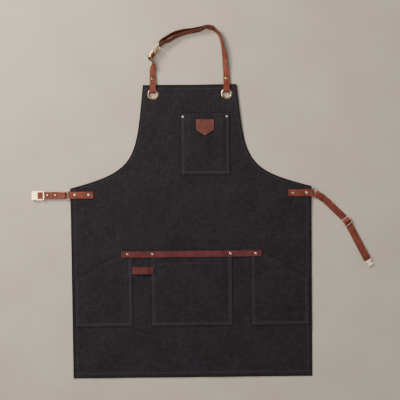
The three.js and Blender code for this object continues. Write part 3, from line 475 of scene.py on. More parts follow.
def turned(bm, centre, profile, steps=40):
    """Turns a closed profile of (radius, height) about the upright line through centre."""
    x, y = centre
    verts = [bm.verts.new((x + r, y, z)) for r, z in profile]
    edges = [bm.edges.new((a, b)) for a, b in zip(verts, verts[1:])]
    if profile[0][0] > 0:
        edges.append(bm.edges.new((verts[-1], verts[0])))
    bmesh.ops.spin(
        bm, geom=verts + edges, cent=(x, y, 0), axis=(0, 0, 1), angle=2 * math.pi, steps=steps,
        use_merge=True,
    )
    bmesh.ops.remove_doubles(bm, verts=bm.verts, dist=1e-6)
    bmesh.ops.recalc_face_normals(bm, faces=bm.faces)


# %% [markdown]
# ## How the canvas lies
# The fittings hold the canvas a few millimetres off the floor; between them it sinks until its hem rests
# there. `rest_height` gives the middle of the cloth anywhere: held near each fitting, low elsewhere, with
# the soft folds of a cloth smoothed out by hand.

# %% The canvas's resting height
HALF_WAIST, HALF_HEM, DROP = 350 * MM, 347 * MM, 552 * MM
HALF_BIB, BIB = 136 * MM, 298 * MM
THICK, POCKET_THICK = 1.3 * MM, 1.2 * MM
HELD, LOW, LOWEST = 0.65 * MM, -2.5 * MM, -2.65 * MM
TAB_Y = -19.5 * MM
EYE_X, EYE_Y = 107 * MM, 270 * MM
PEN_SEAM = 73.5 * MM


def middle(node):
    low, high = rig.box(node)
    return (low + high) / 2


# Lines that hold the canvas up: from, to, and how far out it stays level, in metres.
holding_rivets = [f"towel_rivet_{letter}" for letter in "abcd"] + ["chest_rivet_a", "chest_rivet_b"]
held_lines = [(*middle(n).xy, *middle(n).xy, 0.006) for n in holding_rivets]
held_lines += [(s * 0.292, TAB_Y, s * 0.352, TAB_Y, 0.014) for s in (-1, 1)]
held_lines += [(s * EYE_X, 0.262, s * EYE_X, 0.300, 0.022) for s in (-1, 1)]
held_lines += [(-0.169, -0.240, -0.115, -0.240, 0.012)]

# Soft folds: from, to, half width and height, in millimetres.
FOLDS = [
    (-128, 150, -92, 258, 16, 1.7), (-140, 140, -112, 60, 22, 1.3), (-60, 236, 40, 258, 20, 1.0),
    (-215, 8, -240, -70, 14, 1.6), (-250, -6, -262, -60, 12, 1.2), (-326, -60, -318, -180, 15, 1.9),
    (-300, -44, -322, -110, 11, 1.3), (-236, -150, -150, -168, 15, 1.4), (-96, -160, 8, -138, 15, 2.1),
    (8, -138, 110, -164, 15, 2.0), (-60, -60, 80, -30, 34, 1.0), (120, 20, 230, -40, 30, 1.0),
    (292, -70, 318, -150, 20, 1.2), (84, -462, 122, -425, 13, 1.7), (132, -470, 168, -430, 12, 1.1),
    (268, -520, 322, -470, 14, 1.4), (240, -535, 262, -500, 12, 1.0), (-330, -430, -318, -470, 12, 1.5),
    (-150, -300, -128, -380, 12, 1.2), (-60, 90, -40, -20, 30, 0.9), (200, -470, 60, -520, 34, 0.8),
]


def to_line(x, y, x0, y0, x1, y1):
    """Distance from points to a short line, and how far along it they are from 0 to 1."""
    dx, dy = x1 - x0, y1 - y0
    length = dx * dx + dy * dy
    along = np.clip(((x - x0) * dx + (y - y0) * dy) / max(length, 1e-12), 0, 1)
    return np.hypot(x - x0 - along * dx, y - y0 - along * dy), along


def ripples(x, y):
    """A slow unevenness, the same each time."""
    total = np.zeros_like(x)
    waves = [(0.21, 0.35), (0.13, 0.28), (0.083, 0.16), (0.047, 0.09), (0.031, 0.05)]
    for i, (length, size) in enumerate(waves):
        for turn in range(3):
            angle = 0.9 * i + 1.05 * turn + 0.3
            k = 2 * math.pi / (length * (1 + 0.13 * turn))
            along = x * math.cos(angle) + y * math.sin(angle)
            total += size * MM * np.sin(k * along + 1.7 * i + 2.9 * turn)
    return total


def rest_height(x, y):
    """Height of the middle of the cloth, in metres."""
    x, y = np.asarray(x, float), np.asarray(y, float)
    hold = np.zeros_like(x)
    near = np.zeros_like(x)
    for x0, y0, x1, y1, flat in held_lines:
        away = np.maximum(to_line(x, y, x0, y0, x1, y1)[0] - flat, 0)
        hold = np.maximum(hold, np.exp(-((away / 0.06) ** 2)))
        near = np.maximum(near, np.exp(-((away / 0.014) ** 2)))
    lift = ripples(x, y)
    for x0, y0, x1, y1, width, height in FOLDS:
        away, along = to_line(x / MM, y / MM, x0, y0, x1, y1)
        lift = lift + height * MM * np.exp(-((away / width) ** 2)) * (0.35 + 0.65 * np.sin(math.pi * along))
    loose = LOW + (HELD - LOW) * hold + np.maximum(lift, -0.9 * MM) * (1 - near)
    return np.maximum(loose, LOWEST)


print("height at the middle", round(float(rest_height(0.0, 0.0)) / MM, 2), "mm")

# %% [markdown]
# ## The canvas body
# Rows of points follow the outline from the hem to the bib, closer together near the edges, so that the
# folded hem can step up and each line of stitching can press in. The eyelets' holes are cut from the grid
# and their rims drawn round. The front and back are one closed skin.

# %% Canvas body outline


def bezier(a, b, c, d, count):
    t = np.linspace(0, 1, count)[:, None]
    a, b, c, d = (np.array(p, float) for p in (a, b, c, d))
    return (1 - t) ** 3 * a + 3 * t * (1 - t) ** 2 * b + 3 * t * t * (1 - t) * c + t**3 * d


side_line = np.array([(HALF_HEM, -DROP), (HALF_WAIST, 0)])
armhole_line = bezier(
    (HALF_WAIST, 0), (HALF_WAIST - 0.193, 0.050), (HALF_BIB + 0.023, BIB - 0.221), (HALF_BIB, BIB), 90
)
SIDE_HEM, ARM_HEM, TOP_HEM, LOW_HEM = 14 * MM, 9 * MM, 14 * MM, 16 * MM
STITCH_IN = 1.7 * MM
NEAR_EDGE = np.array([0, 0.6, 1.6, 4, 8.0, 9.4, 10.6, 12, 13.4, 14.6, 16, 18.5]) * MM


def from_path(x, y, path):
    """Distance from points to a path of straight pieces."""
    best = np.full(np.shape(x), 9.0)
    for (x0, y0), (x1, y1) in zip(path, path[1:]):
        best = np.minimum(best, to_line(x, y, x0, y0, x1, y1)[0])
    return best


def step(value, at, width=0.9 * MM):
    """1 below at, 0 above it, with a soft edge."""
    t = np.clip((at - value) / width + 0.5, 0, 1)
    return t * t * (3 - 2 * t)


def groove(value, at, width=1.1 * MM):
    return np.exp(-(((value - at) / width) ** 2))


def from_edges(x, y):
    """Distances from the canvas's side, armhole, top and bottom edges."""
    side = from_path(np.abs(x), y, side_line)
    arm = from_path(np.abs(x), y, armhole_line[::3].tolist() + [armhole_line[-1].tolist()])
    return side, arm, BIB - y, y + DROP


lower = np.concatenate([-DROP + NEAR_EDGE, -DROP + np.array([23, 28]) * MM])
upper = np.linspace(lower[-1], -0.004, 112)[1:]
skirt_rows = [(HALF_HEM + (HALF_WAIST - HALF_HEM) * (y + DROP) / DROP, y) for y in [*lower, *upper]]
arm_rows = [tuple(p) for p in armhole_line if p[1] < BIB - 20 * MM]
top_rows = []
for y in BIB - NEAR_EDGE[::-1]:
    top_rows.append((float(np.interp(y, armhole_line[:, 1], armhole_line[:, 0])), float(y)))
rows = skirt_rows + arm_rows + top_rows
print("rows", len(rows), "across the narrowest", round(2 * HALF_BIB / MM), "mm")

# %% Canvas body


def edge_relief(x, y):
    """How far the hem lifts the front and drops the back, and how deep the stitching presses in."""
    side, arm, top, low = from_edges(x, y)
    hem = np.maximum.reduce([
        step(side, SIDE_HEM), step(arm, ARM_HEM), step(top, TOP_HEM), step(low, LOW_HEM),
    ])
    press = np.maximum.reduce([
        groove(side, SIDE_HEM - STITCH_IN) * (y < 2 * MM), groove(arm, ARM_HEM - STITCH_IN),
        groove(top, TOP_HEM - STITCH_IN), groove(low, LOW_HEM - STITCH_IN),
    ])
    edge = np.minimum.reduce([side, arm, top, low])
    tuck = step(edge, 0.4 * MM, 1.6 * MM)
    return hem, press, tuck


def sheet_grid(bm, columns, rows, place):
    """A grid of points put in place by place(u, v), with u and v as column and row numbers."""
    made = bmesh.ops.create_grid(bm, x_segments=columns - 1, y_segments=rows - 1, size=0.5)["verts"]
    u = np.rint([(v.co.x + 0.5) * (columns - 1) for v in made]).astype(int)
    v = np.rint([(p.co.y + 0.5) * (rows - 1) for p in made]).astype(int)
    for vert, spot in zip(made, place(u, v)):
        vert.co = spot
    return made


def back_of(bm, front, down):
    """Closes a sheet: a copy of its faces, moved down by down(x, y), joined round every rim."""
    faces = list(bm.faces)
    rim = [e for e in bm.edges if len(e.link_faces) == 1]
    copy = bmesh.ops.duplicate(bm, geom=list(bm.verts) + list(bm.edges) + faces)
    pairs = copy["vert_map"]
    depth = down(np.array([v.co.x for v in front]), np.array([v.co.y for v in front]))
    for vert, drop in zip(front, depth):
        pairs[vert].co.z -= drop
    for face in [f for f in copy["geom"] if isinstance(f, bmesh.types.BMFace)]:
        face.normal_flip()
    for edge in rim:
        face = edge.link_faces[0]
        loop = next(l for l in face.loops if l.edge == edge)
        a, b = loop.vert, loop.link_loop_next.vert
        bm.faces.new((b, a, pairs[a], pairs[b]))


def row_points(half):
    """Places across one row: close together at both edges, even between them."""
    end = half - 22 * MM
    return np.concatenate([-half + NEAR_EDGE, np.linspace(-end, end, 118), half - NEAR_EDGE[::-1]])


table = np.array([row_points(w) for w, _ in rows])
heights = np.array([y for _, y in rows])
bm = bmesh.new()


def place_canvas(u, v):
    x, y = table[v, u], heights[v]
    hem, press, tuck = edge_relief(x, y)
    z = rest_height(x, y) + THICK / 2 + (0.55 * hem - 0.45 * press - 0.5 * tuck) * MM
    return np.stack([x, y, z], 1).tolist()


front = sheet_grid(bm, table.shape[1], table.shape[0], place_canvas)
HOLE = 13.8 * MM
for s in (-1, 1):
    eye = Vector((s * EYE_X, EYE_Y))
    inside = [f for f in bm.faces if (f.calc_center_median().xy - eye).length < HOLE - 0.2 * MM]
    bmesh.ops.delete(bm, geom=inside, context="FACES")
    for vert in bm.verts:
        away = vert.co.xy - eye
        if away.length < 24 * MM and any(len(e.link_faces) == 1 for e in vert.link_edges):
            vert.co.xy = eye + away.normalized() * HOLE
front = [v for v in bm.verts if v.link_faces]
bmesh.ops.delete(bm, geom=[v for v in bm.verts if not v.link_faces], context="VERTS")


def canvas_depth(x, y):
    hem, press, tuck = edge_relief(x, y)
    return THICK + (1.15 * hem - 0.8 * press - 0.9 * tuck) * MM


back_of(bm, front, canvas_depth)
panel = finished(bm, "canvas_body", "apron", "canvas", [canvas], ["canvas_panel"], angle=60)
print("canvas faces", len(panel.data.polygons))

# %% [markdown]
# ## Stitching
# Each stitch is a small flattened spindle of thread, laid end to end along a seam and seated in its groove.
# The same line shows on the back of the cloth.

# %% Stitches
PITCH, STITCH, THREAD = 3.4 * MM, 2.7 * MM, 0.36 * MM


def inset(path, away, turn=1):
    """A path moved sideways: turn=1 moves it to the left of its direction."""
    path = np.asarray(path, float)
    slope = np.gradient(path, axis=0)
    slope /= np.linalg.norm(slope, axis=1)[:, None]
    return path + turn * away * np.stack([-slope[:, 1], slope[:, 0]], 1)


def straight(x0, y0, x1, y1):
    return np.linspace((x0, y0), (x1, y1), 3)


def along(path, spacing):
    """Even places along a path, with their directions."""
    path = np.asarray(path, float)
    reach = np.concatenate([[0], np.cumsum(np.linalg.norm(np.diff(path, axis=0), axis=1))])
    count = max(int(reach[-1] / spacing), 1)
    at = (np.arange(count) + 0.5) * reach[-1] / count
    spots = np.stack([np.interp(at, reach, path[:, i]) for i in (0, 1)], 1)
    ahead = np.stack([np.interp(at + 0.4 * MM, reach, path[:, i]) for i in (0, 1)], 1)
    behind = np.stack([np.interp(at - 0.4 * MM, reach, path[:, i]) for i in (0, 1)], 1)
    return spots, ahead - behind


def stitched(name, paths, levels, body="apron", slot="canvas", colour=None):
    """Stitches along each path at every level, a level being a function that gives the height at (x, y)."""
    bm = bmesh.new()
    for path in paths:
        spots, ways = along(path, PITCH)
        for level in levels:
            z0 = level(spots[:, 0], spots[:, 1])
            reach = 0.5 * STITCH / np.linalg.norm(ways, axis=1)[:, None] * ways
            z1 = level(*(spots + reach).T)
            z2 = level(*(spots - reach).T)
            one = bmesh.new()
            for (x, y), z, (dx, dy), rise in zip(spots, z0, reach, z1 - z2):
                forward = Vector((dx, dy, rise / 2)).normalized()
                side = Vector((-forward.y, forward.x, 0)).normalized()
                frame_here = Matrix((forward, side, forward.cross(side))).transposed().to_4x4()
                size = Matrix.Diagonal((STITCH / 2, THREAD, THREAD * 0.8, 1))
                bmesh.ops.create_icosphere(
                    one, subdivisions=1, radius=1, matrix=Matrix.Translation((x, y, z)) @ frame_here @ size)
            part = bpy.data.meshes.new("part")
            one.to_mesh(part)
            one.free()
            bm.from_mesh(part)
            bpy.data.meshes.remove(part)
    count = len(bm.faces) // 20
    piece = finished(bm, name, body, slot, [colour or thread], angle=180)
    print(name, count, "stitches")
    return piece


def canvas_front(x, y):
    """Height of the canvas's front, with its hem but not its grooves."""
    return rest_height(x, y) + THICK / 2 + 0.55 * MM * edge_relief(x, y)[0]


def canvas_stitch(x, y):
    return canvas_front(x, y) - 0.3 * MM


def canvas_back_stitch(x, y):
    return rest_height(x, y) - THICK / 2 - 0.1 * MM - 0.45 * MM * edge_relief(x, y)[0]


seam_side = SIDE_HEM - STITCH_IN
seams = []
for s in (-1, 1):
    edge = np.array([(HALF_HEM, -DROP + 2 * MM), (HALF_WAIST, -1 * MM)])
    seams.append(np.array([(s * (x - seam_side), y) for x, y in edge]))
    arm = inset(armhole_line, ARM_HEM - STITCH_IN)[4:-1]
    seams.append(np.array([(s * x, y) for x, y in arm]))
for half, y in ((HALF_BIB, BIB - TOP_HEM + STITCH_IN), (HALF_HEM, -DROP + LOW_HEM - STITCH_IN)):
    seams.append(straight(-half + 3 * MM, y, half - 3 * MM, y))
hem_stitches = stitched("hem_stitches", seams, [canvas_stitch, canvas_back_stitch])

# %% [markdown]
# ## Pockets
# Every pocket is a sheet of its own, folded under at its sides and bottom and hemmed at its mouth. It lies
# on the canvas at its seams and bellies out between them, more towards the mouth.

# %% Pocket shapes
SEAM, RAMP = 11 * MM, 22 * MM
FOLDED = 9.5 * MM
TOPSTITCHES = (1.9 * MM, 7.7 * MM)
MOUTH_IN = 1.8 * MM
UNDER_TRIM, EAR, HIP_BEND = -186.5 * MM, 109 * MM, 0.200
CENTRE_MOUTH = -203.5 * MM


def rise_between(x, left, right, flat=SEAM, run=RAMP):
    """0 at both seams and 1 between them."""
    def soft(t):
        t = np.clip(t, 0, 1)
        return t * t * (3 - 2 * t)

    return soft((x - left - flat) / run) * soft((right - flat - x) / run)


def chest_lift(x):
    left, right = POCKETS["chest_pocket"]["left"], POCKETS["chest_pocket"]["right"]
    pen = 0.8 * rise_between(x, PEN_SEAM, right, 4 * MM, 14 * MM)
    return rise_between(x, left, PEN_SEAM, 8 * MM) + pen


def hip_top(x):
    return UNDER_TRIM - np.maximum(0, np.abs(x) - HIP_BEND) * 77 / 134


def hip_lift(x):
    return rise_between(np.abs(x), 0.190, 0.339, 12 * MM, 30 * MM)


def centre_top(x):
    return np.where(np.abs(x) > EAR, UNDER_TRIM, CENTRE_MOUTH)


def centre_lift(x):
    return rise_between(x, POCKETS["centre_pocket"]["left"], POCKETS["centre_pocket"]["right"])


def chest_top(x):
    return 213 * MM + 0 * x


POCKETS = {
    "chest_pocket": dict(
        left=-26.5 * MM, right=113.5 * MM, bottom=37 * MM, top=chest_top, lift=chest_lift,
        belly=3.0 * MM, hem=18 * MM, divider=PEN_SEAM),
    "left_hip_pocket": dict(
        left=-339 * MM, right=-173.3 * MM, bottom=-402 * MM, top=hip_top, lift=hip_lift,
        belly=3.4 * MM, hem=15 * MM),
    "right_hip_pocket": dict(
        left=173.3 * MM, right=339 * MM, bottom=-402 * MM, top=hip_top, lift=hip_lift,
        belly=3.4 * MM, hem=15 * MM),
    "centre_pocket": dict(
        left=-117 * MM, right=117 * MM, bottom=-402 * MM, top=centre_top, lift=centre_lift,
        belly=2.4 * MM, hem=20 * MM, mouth=CENTRE_MOUTH),
}
# Folds in the pockets, in the same form as the canvas's own.
POCKET_FOLDS = [
    (-318, -338, -262, -300, 13, 1.5), (-300, -368, -236, -326, 11, 1.1), (-60, -250, -10, -222, 12, 1.0),
    (-92, -300, -64, -362, 12, 1.1), (20, -330, 84, -300, 16, 1.0), (-30, -380, 40, -352, 14, 0.8),
    (215, -262, 292, -270, 15, 1.3), (236, -330, 300, -352, 14, 1.0), (10, 90, 50, 140, 14, 0.8),
]


def pocket_front(spec, x, y, pressed=True):
    """Height of a pocket's front face, with its folded edges, hem and grooves."""
    side = np.minimum(x - spec["left"], spec["right"] - x)
    low, top = y - spec["bottom"], spec.get("mouth", spec["top"](x)) - y
    up = np.clip(low / (0.45 * (spec["top"](x) - spec["bottom"])), 0, 1)
    belly = spec["belly"] * spec["lift"](x) * np.sin(up * math.pi / 2) ** 1.5
    folds = 0.25 * np.abs(ripples(x + 0.3, y - 0.2))
    for x0, y0, x1, y1, width, height in POCKET_FOLDS:
        away, part = to_line(x / MM, y / MM, x0, y0, x1, y1)
        crest = np.exp(-((away / (0.7 * width)) ** 2))
        folds = folds + height * MM * crest * np.sin(math.pi * np.clip(part, 0.08, 0.92))
    inner_part = 1 - step(np.minimum(side, low), 16 * MM, 16 * MM)
    folded = np.maximum(step(side, FOLDED), step(low, FOLDED))
    hem = step(top, spec["hem"])
    edge = np.minimum.reduce([side, low, top])
    z = canvas_front(x, y) + 0.12 * MM + POCKET_THICK + belly + folds * inner_part
    z = z + (0.55 * folded + 0.5 * hem - 0.5 * step(edge, 0.4 * MM, 1.6 * MM)) * MM
    if pressed:
        dip = np.maximum.reduce([groove(edge_away, at) for edge_away in (side, low) for at in TOPSTITCHES])
        z = z - 0.4 * MM * np.maximum(dip, groove(top, spec["hem"] - MOUTH_IN))
        if "divider" in spec:
            z = z - 0.5 * MM * groove(x, spec["divider"], 1.6 * MM)
    # The cloth stays under the towel strap and under the tool loop's inner foot.
    strap = (np.abs(x) < 205 * MM) & (y > -204 * MM) & (y < -180 * MM)
    foot = (np.abs(x + 115 * MM) < 4.5 * MM) & (np.abs(y + 240 * MM) < 12 * MM)
    return np.where(strap | foot, np.minimum(z, rest_height(x, y) + 2.4 * MM), z)


def pocket_columns(spec):
    left, right = spec["left"], spec["right"]
    near = NEAR_EDGE * 0.92
    between = np.linspace(left + 20 * MM, right - 20 * MM, int((right - left) / (4.4 * MM)))
    places = [left + near, between, right - near[::-1]]
    if "divider" in spec:
        places.append(spec["divider"] + np.array([-3, -1.5, 0, 1.5, 3]) * MM)
    return np.unique(np.round(np.concatenate(places), 6))


# %% Pockets and their stitching


def make_pocket(name, spec):
    columns = pocket_columns(spec)
    near = NEAR_EDGE * 0.92
    tops = spec["top"](columns)
    low = spec["bottom"] + near
    by_hem = spec["hem"] + np.array([-3.2, -1.8, -0.4, 1.2]) * MM
    high = tops[:, None] - np.sort(np.concatenate([near, by_hem]))[::-1]
    count = int((tops.max() - spec["bottom"]) / (5 * MM))
    t = np.linspace(0, 1, count)[1:-1]
    between = low[-1] + (high[:, :1] - low[-1]) * t[None, :]
    ys = np.concatenate([np.repeat(low[None, :], len(columns), 0), between, high], 1)
    bm = bmesh.new()

    def place(u, v):
        x, y = columns[u], ys[u, v]
        return np.stack([x, y, pocket_front(spec, x, y)], 1).tolist()

    front = sheet_grid(bm, len(columns), ys.shape[1], place)
    back_of(bm, front, lambda x, y: np.full_like(x, POCKET_THICK * 1.02))
    return finished(bm, name + "_cloth", "apron", "canvas", [canvas], [name], angle=60)


def topstitch_paths(spec, short):
    """The two lines down one side of a pocket, along its bottom and up the other, ending short of its top."""
    left, right, bottom, top = spec["left"], spec["right"], spec["bottom"], spec["top"]
    paths = []
    for away in TOPSTITCHES:
        x0, x1, y = left + away, right - away, bottom + away
        paths.append(straight(x0, top(left) - short, x0, y))
        paths.append(straight(x0, y, x1, y))
        paths.append(straight(x1, y, x1, top(right) - short))
    return paths


for name, spec in POCKETS.items():
    spec["cloth"] = make_pocket(name, spec)
    left, right, bottom, top = spec["left"], spec["right"], spec["bottom"], spec["top"]
    paths = topstitch_paths(spec, 2 * MM)
    bends = [x for x in (-HIP_BEND, HIP_BEND) if left < x < right]
    stations = np.array([left + 2 * MM, *bends, right - 2 * MM])
    mouth = np.full_like(stations, spec["mouth"]) if "mouth" in spec else top(stations)
    paths.append(np.stack([stations, mouth - spec["hem"] + MOUTH_IN], 1))
    if "divider" in spec:
        paths.append(straight(spec["divider"], bottom + 9 * MM, spec["divider"], top(0.0) - 3 * MM))
    level = lambda x, y, spec=spec: pocket_front(spec, x, y, False) - 0.22 * MM
    spec["stitches"] = stitched(name + "_stitches", paths, [level])


def pocket_wear(spec, x, y):
    side = np.minimum(x - spec["left"], spec["right"] - x)
    low, top = y - spec["bottom"], spec.get("mouth", spec["top"](x)) - y
    lines = [groove(away, at, 1.5 * MM) for away in (side, low) for at in TOPSTITCHES]
    lines += [0.6 * groove(top, spec["hem"] - MOUTH_IN, 1.4 * MM), 0.9 * groove(top, 0, 1.4 * MM)]
    return 0.55 * np.maximum.reduce(lines)


def shadow_beside_pockets(x, y):
    """Painted shadow: 1 where the canvas meets the outside of a pocket, fading away from it."""
    dark = np.zeros_like(x)
    for spec in POCKETS.values():
        out = np.maximum.reduce([spec["left"] - x, x - spec["right"], spec["bottom"] - y, y - spec["top"](x)])
        dark = np.maximum(dark, np.exp(-((np.maximum(out, 0) / (2.2 * MM)) ** 2)) * (out > -3 * MM))
    return dark


for spec in POCKETS.values():
    # The pockets get wear but no painted shade.
    shaded(spec["cloth"], lambda x, y, spec=spec: pocket_wear(spec, x, y), lambda x, y: 0 * x)


def panel_wear(x, y):
    hem, press, tuck = edge_relief(x, y)
    return 0.5 * press + 0.2 * tuck


# Painted shade: darker beside each pocket and within a few millimetres of the canvas's edge.
def panel_painted_shade(x, y):
    edge = np.minimum.reduce(from_edges(x, y))
    return np.maximum(0.75 * shadow_beside_pockets(x, y), 0.6 * (1 - np.clip((edge - 2.5 * MM) / (3 * MM), 0, 1)))


shaded(panel, panel_wear, panel_painted_shade)

back_paths = []
for spec in POCKETS.values():
    back_paths += topstitch_paths(spec, 4 * MM)
back_paths.append(straight(PEN_SEAM, 46 * MM, PEN_SEAM, 210 * MM))


def pocket_back_stitch(x, y):
    return rest_height(x, y) - THICK / 2 - 0.1 * MM


back_stitches = stitched("back_stitches", back_paths, [pocket_back_stitch])

# %% [markdown]
# ## Leather
# Straps, tabs and the badge start from the frame's own shapes. A face whose far side is well away through the
# leather is a cut edge, and gets the darker edge finish before every edge is softened.

# %% Leather pieces


def mark_cut_edges(bm, far=13 * MM):
    """Gives the edge finish to faces with more than `far` of leather behind them."""
    tree = BVHTree.FromBMesh(bm)
    for face in bm.faces:
        start_point = face.calc_center_median() - face.normal * 0.02 * MM
        hit = tree.ray_cast(start_point, -face.normal)
        if hit[0] is None or hit[3] > far:
            face.material_index = 1


def sliced(bm, axis, spacing):
    """Cuts a mesh across, so that it can bend."""
    places = [v.co[axis] for v in bm.verts]
    normal = Vector([1.0 if i == axis else 0.0 for i in range(3)])
    for at in np.arange(min(places) + spacing, max(places), spacing):
        everything = list(bm.verts) + list(bm.edges) + list(bm.faces)
        bmesh.ops.bisect_plane(bm, geom=everything, plane_co=normal * float(at), plane_no=normal)


def hold_only(x, y):
    """Where the canvas would lie with no folds or ripples."""
    hold = np.zeros_like(np.asarray(x, float))
    for x0, y0, x1, y1, flat in held_lines:
        away = np.maximum(to_line(x, y, x0, y0, x1, y1)[0] - flat, 0)
        hold = np.maximum(hold, np.exp(-((away / 0.06) ** 2)))
    return LOW + (HELD - LOW) * hold


def settled(bm, shift):
    """Moves a mesh up by shift(x, y)."""
    x = np.array([v.co.x for v in bm.verts])
    y = np.array([v.co.y for v in bm.verts])
    for vert, drop in zip(bm.verts, shift(x, y)):
        vert.co.z += float(drop)


def leather(name, nodes, body, surface, edge, slot, slices=(), shift=None, soft=0.45 * MM):
    bm = merged(*nodes)
    mark_cut_edges(bm)
    for axis, spacing in slices:
        sliced(bm, axis, spacing)
    if shift:
        settled(bm, shift)
    rounded(bm, soft, 2, 50)
    return finished(bm, name, body, slot, [surface, edge], nodes, weighed=True)


def with_canvas(x, y):
    return hold_only(x, y) - HELD


for node, spacing in (("towel_strap", 9 * MM), ("tool_loop", 4 * MM)):
    leather(
        node + "_leather", [node], "apron", brown, brown_edge, "dark_leather", [(0, spacing)], with_canvas)
low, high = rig.box("badge")
badge_low, badge_thick = low.z, high.z - low.z


def on_chest_pocket(x, y):
    return pocket_front(POCKETS["chest_pocket"], x, y, False) + 0.05 * MM - badge_low


leather(
    "badge_leather", ["badge"], "apron", badge_leather, brown_edge, "dark_leather",
    [(0, 5 * MM), (1, 5 * MM)], on_chest_pocket, 0.35 * MM)
tan_thread = start("tan_thread", Base_Color=srgb("#a07a6c"), Roughness=0.7)[0]
shoulder = min(v.co.y for v in cad["badge"].data.vertices if v.co.x < low.x + 0.5 * MM)
middle_x, rim = (low.x + high.x) / 2, 2.2 * MM
badge_line = [
    (low.x + rim, high.y - rim), (low.x + rim, shoulder + 0.5 * rim), (middle_x, low.y + 1.25 * rim),
    (high.x - rim, shoulder + 0.5 * rim), (high.x - rim, high.y - rim),
]


def badge_top(x, y):
    return pocket_front(POCKETS["chest_pocket"], x, y, False) + badge_thick


badge_paths = [straight(*a, *b) for a, b in zip(badge_line, badge_line[1:] + badge_line[:1])]
stitched("badge_stitches", badge_paths, [badge_top], slot="dark_leather", colour=tan_thread)
for side in ("left", "right"):
    leather(side + "_tab_leather", [side + "_waist_tab"], "apron", tan, tan_edge, "tan_leather")
leather("left_strap_leather", ["left_strap"], "left_strap", tan, tan_edge, "tan_leather")
leather("right_strap_leather", ["right_strap"], "right_strap", tan, tan_edge, "tan_leather")

# %% [markdown]
# ### Neck straps
# Each neck strap is one length of leather that runs through its eyelet, so the frame's loop and strap are
# joined into one skin that bends where the strap lifts.

# %% Neck straps
LIFT_Y = 325 * MM


def neck_strap(name, loop_node, strap_node):
    """A loop and its strap as one piece, which blends from the apron to the lifting strap."""
    bm = merged(loop_node, strap_node)
    mark_cut_edges(bm)
    for face in bm.faces:
        if abs(face.normal.z) > 0.8 and face.calc_center_median().y < LIFT_Y:
            face.material_index = 0
    by_lift = [f for f in bm.faces if abs(f.calc_center_median().y - LIFT_Y) < 1.6 * MM]
    caps = [f for f in by_lift if abs(f.normal.y) > 0.99]
    bmesh.ops.delete(bm, geom=caps, context="FACES")
    rims = [e for e in bm.edges if len(e.link_faces) == 1]
    bmesh.ops.bridge_loops(bm, edges=rims)
    bmesh.ops.recalc_face_normals(bm, faces=bm.faces)
    new = [f for f in bm.faces if abs(f.calc_center_median().y - LIFT_Y) < 1.2 * MM]
    for face in new:
        face.material_index = 1 if abs(face.normal.x) > 0.8 else 0
    for at in np.arange(LIFT_Y - 2 * MM, LIFT_Y + 24 * MM, 2 * MM):
        everything = list(bm.verts) + list(bm.edges) + list(bm.faces)
        bmesh.ops.bisect_plane(bm, geom=everything, plane_co=(0, float(at), 0), plane_no=(0, 1, 0))
    rounded(bm, 0.4 * MM, 2, 50)
    nodes = [loop_node, strap_node]
    piece = finished(bm, name, None, "tan_leather", [tan, tan_edge], nodes, weighed=True)
    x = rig.box(loop_node)[0].x + 8.75 * MM
    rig.blend(piece, "apron", "neck_strap", (x, LIFT_Y - 3 * MM, HELD), (x, LIFT_Y + 22 * MM, HELD))
    print(name, "caps joined", len(caps), "rim edges", len(rims))
    return piece


neck_strap("left_neck_leather", "left_neck_loop", "neck_short_strap")
neck_strap("right_neck_leather", "right_neck_loop", "neck_long_strap")

# %% [markdown]
# ## Metal
# Rivets, eyelets and washers are turned from profiles, the waist rings are bent wire, and the buckles and
# slides keep the frame's shapes with their edges rounded.

# %% Rivets and eyelets


def rivet(node, body, metal, slot):
    """A domed cap, a post and a flat back, in the space of the frame's rivet."""
    low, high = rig.box(node)
    x, y = (low.x + high.x) / 2, (low.y + high.y) / 2
    r = (high.x - low.x) / 2
    rise, post = 0.42 * r, 1.5 * MM
    under = high.z - rise
    profile = [
        (0, low.z), (0.55 * r, low.z), (0.82 * r, low.z + 0.08 * MM), (0.93 * r, low.z + 0.4 * MM),
        (0.9 * r, low.z + 0.85 * MM), (post, low.z + 1.0 * MM), (post, under), (0.95 * r, under),
        (r, under + 0.14 * rise), (0.985 * r, under + 0.32 * rise), (0.92 * r, under + 0.52 * rise),
        (0.78 * r, under + 0.73 * rise), (0.58 * r, under + 0.88 * rise), (0.32 * r, under + 0.97 * rise),
        (0, high.z),
    ]
    bm = bmesh.new()
    turned(bm, (x, y), profile)
    return finished(bm, node + "_turned", body, slot, [metal], [node], angle=50)


for node in sorted(cad):
    if "rivet" in node:
        body = "left_strap" if node.startswith("left_strap") else "apron"
        if node.startswith("chest"):
            rivet(node, body, nickel, "nickel")
        else:
            rivet(node, body, antique if "neck" in node else copper, "antique_brass")

for side, s in (("left", -1), ("right", 1)):
    centre = (s * EYE_X, EYE_Y)
    eyelet = [
        (11.6, -1.2), (11.6, 2.5), (11.9, 3.3), (12.7, 3.68), (13.8, 3.62), (15.2, 3.1), (16.4, 2.3),
        (16.95, 1.75), (16.9, 1.5), (16.2, 1.42), (12.6, 1.42), (12.6, -0.95), (13.5, -0.95), (13.8, -1.25),
        (13.4, -1.65), (12.4, -1.75),
    ]
    bm = bmesh.new()
    turned(bm, centre, [(r * MM, z * MM) for r, z in eyelet], 72)
    finished(bm, side + "_eyelet", "apron", "antique_brass", [antique], [side + "_grommet"], angle=50)
    washer = [(12.8, -0.8), (16.0, -0.8), (16.2, -0.65), (16.2, -0.3), (12.8, -0.22)]
    bm = bmesh.new()
    turned(bm, centre, [(r * MM, z * MM) for r, z in washer], 64)
    finished(bm, side + "_washer", "apron", "antique_brass", [antique], [side + "_grommet_washer"], angle=40)

# %% Rings


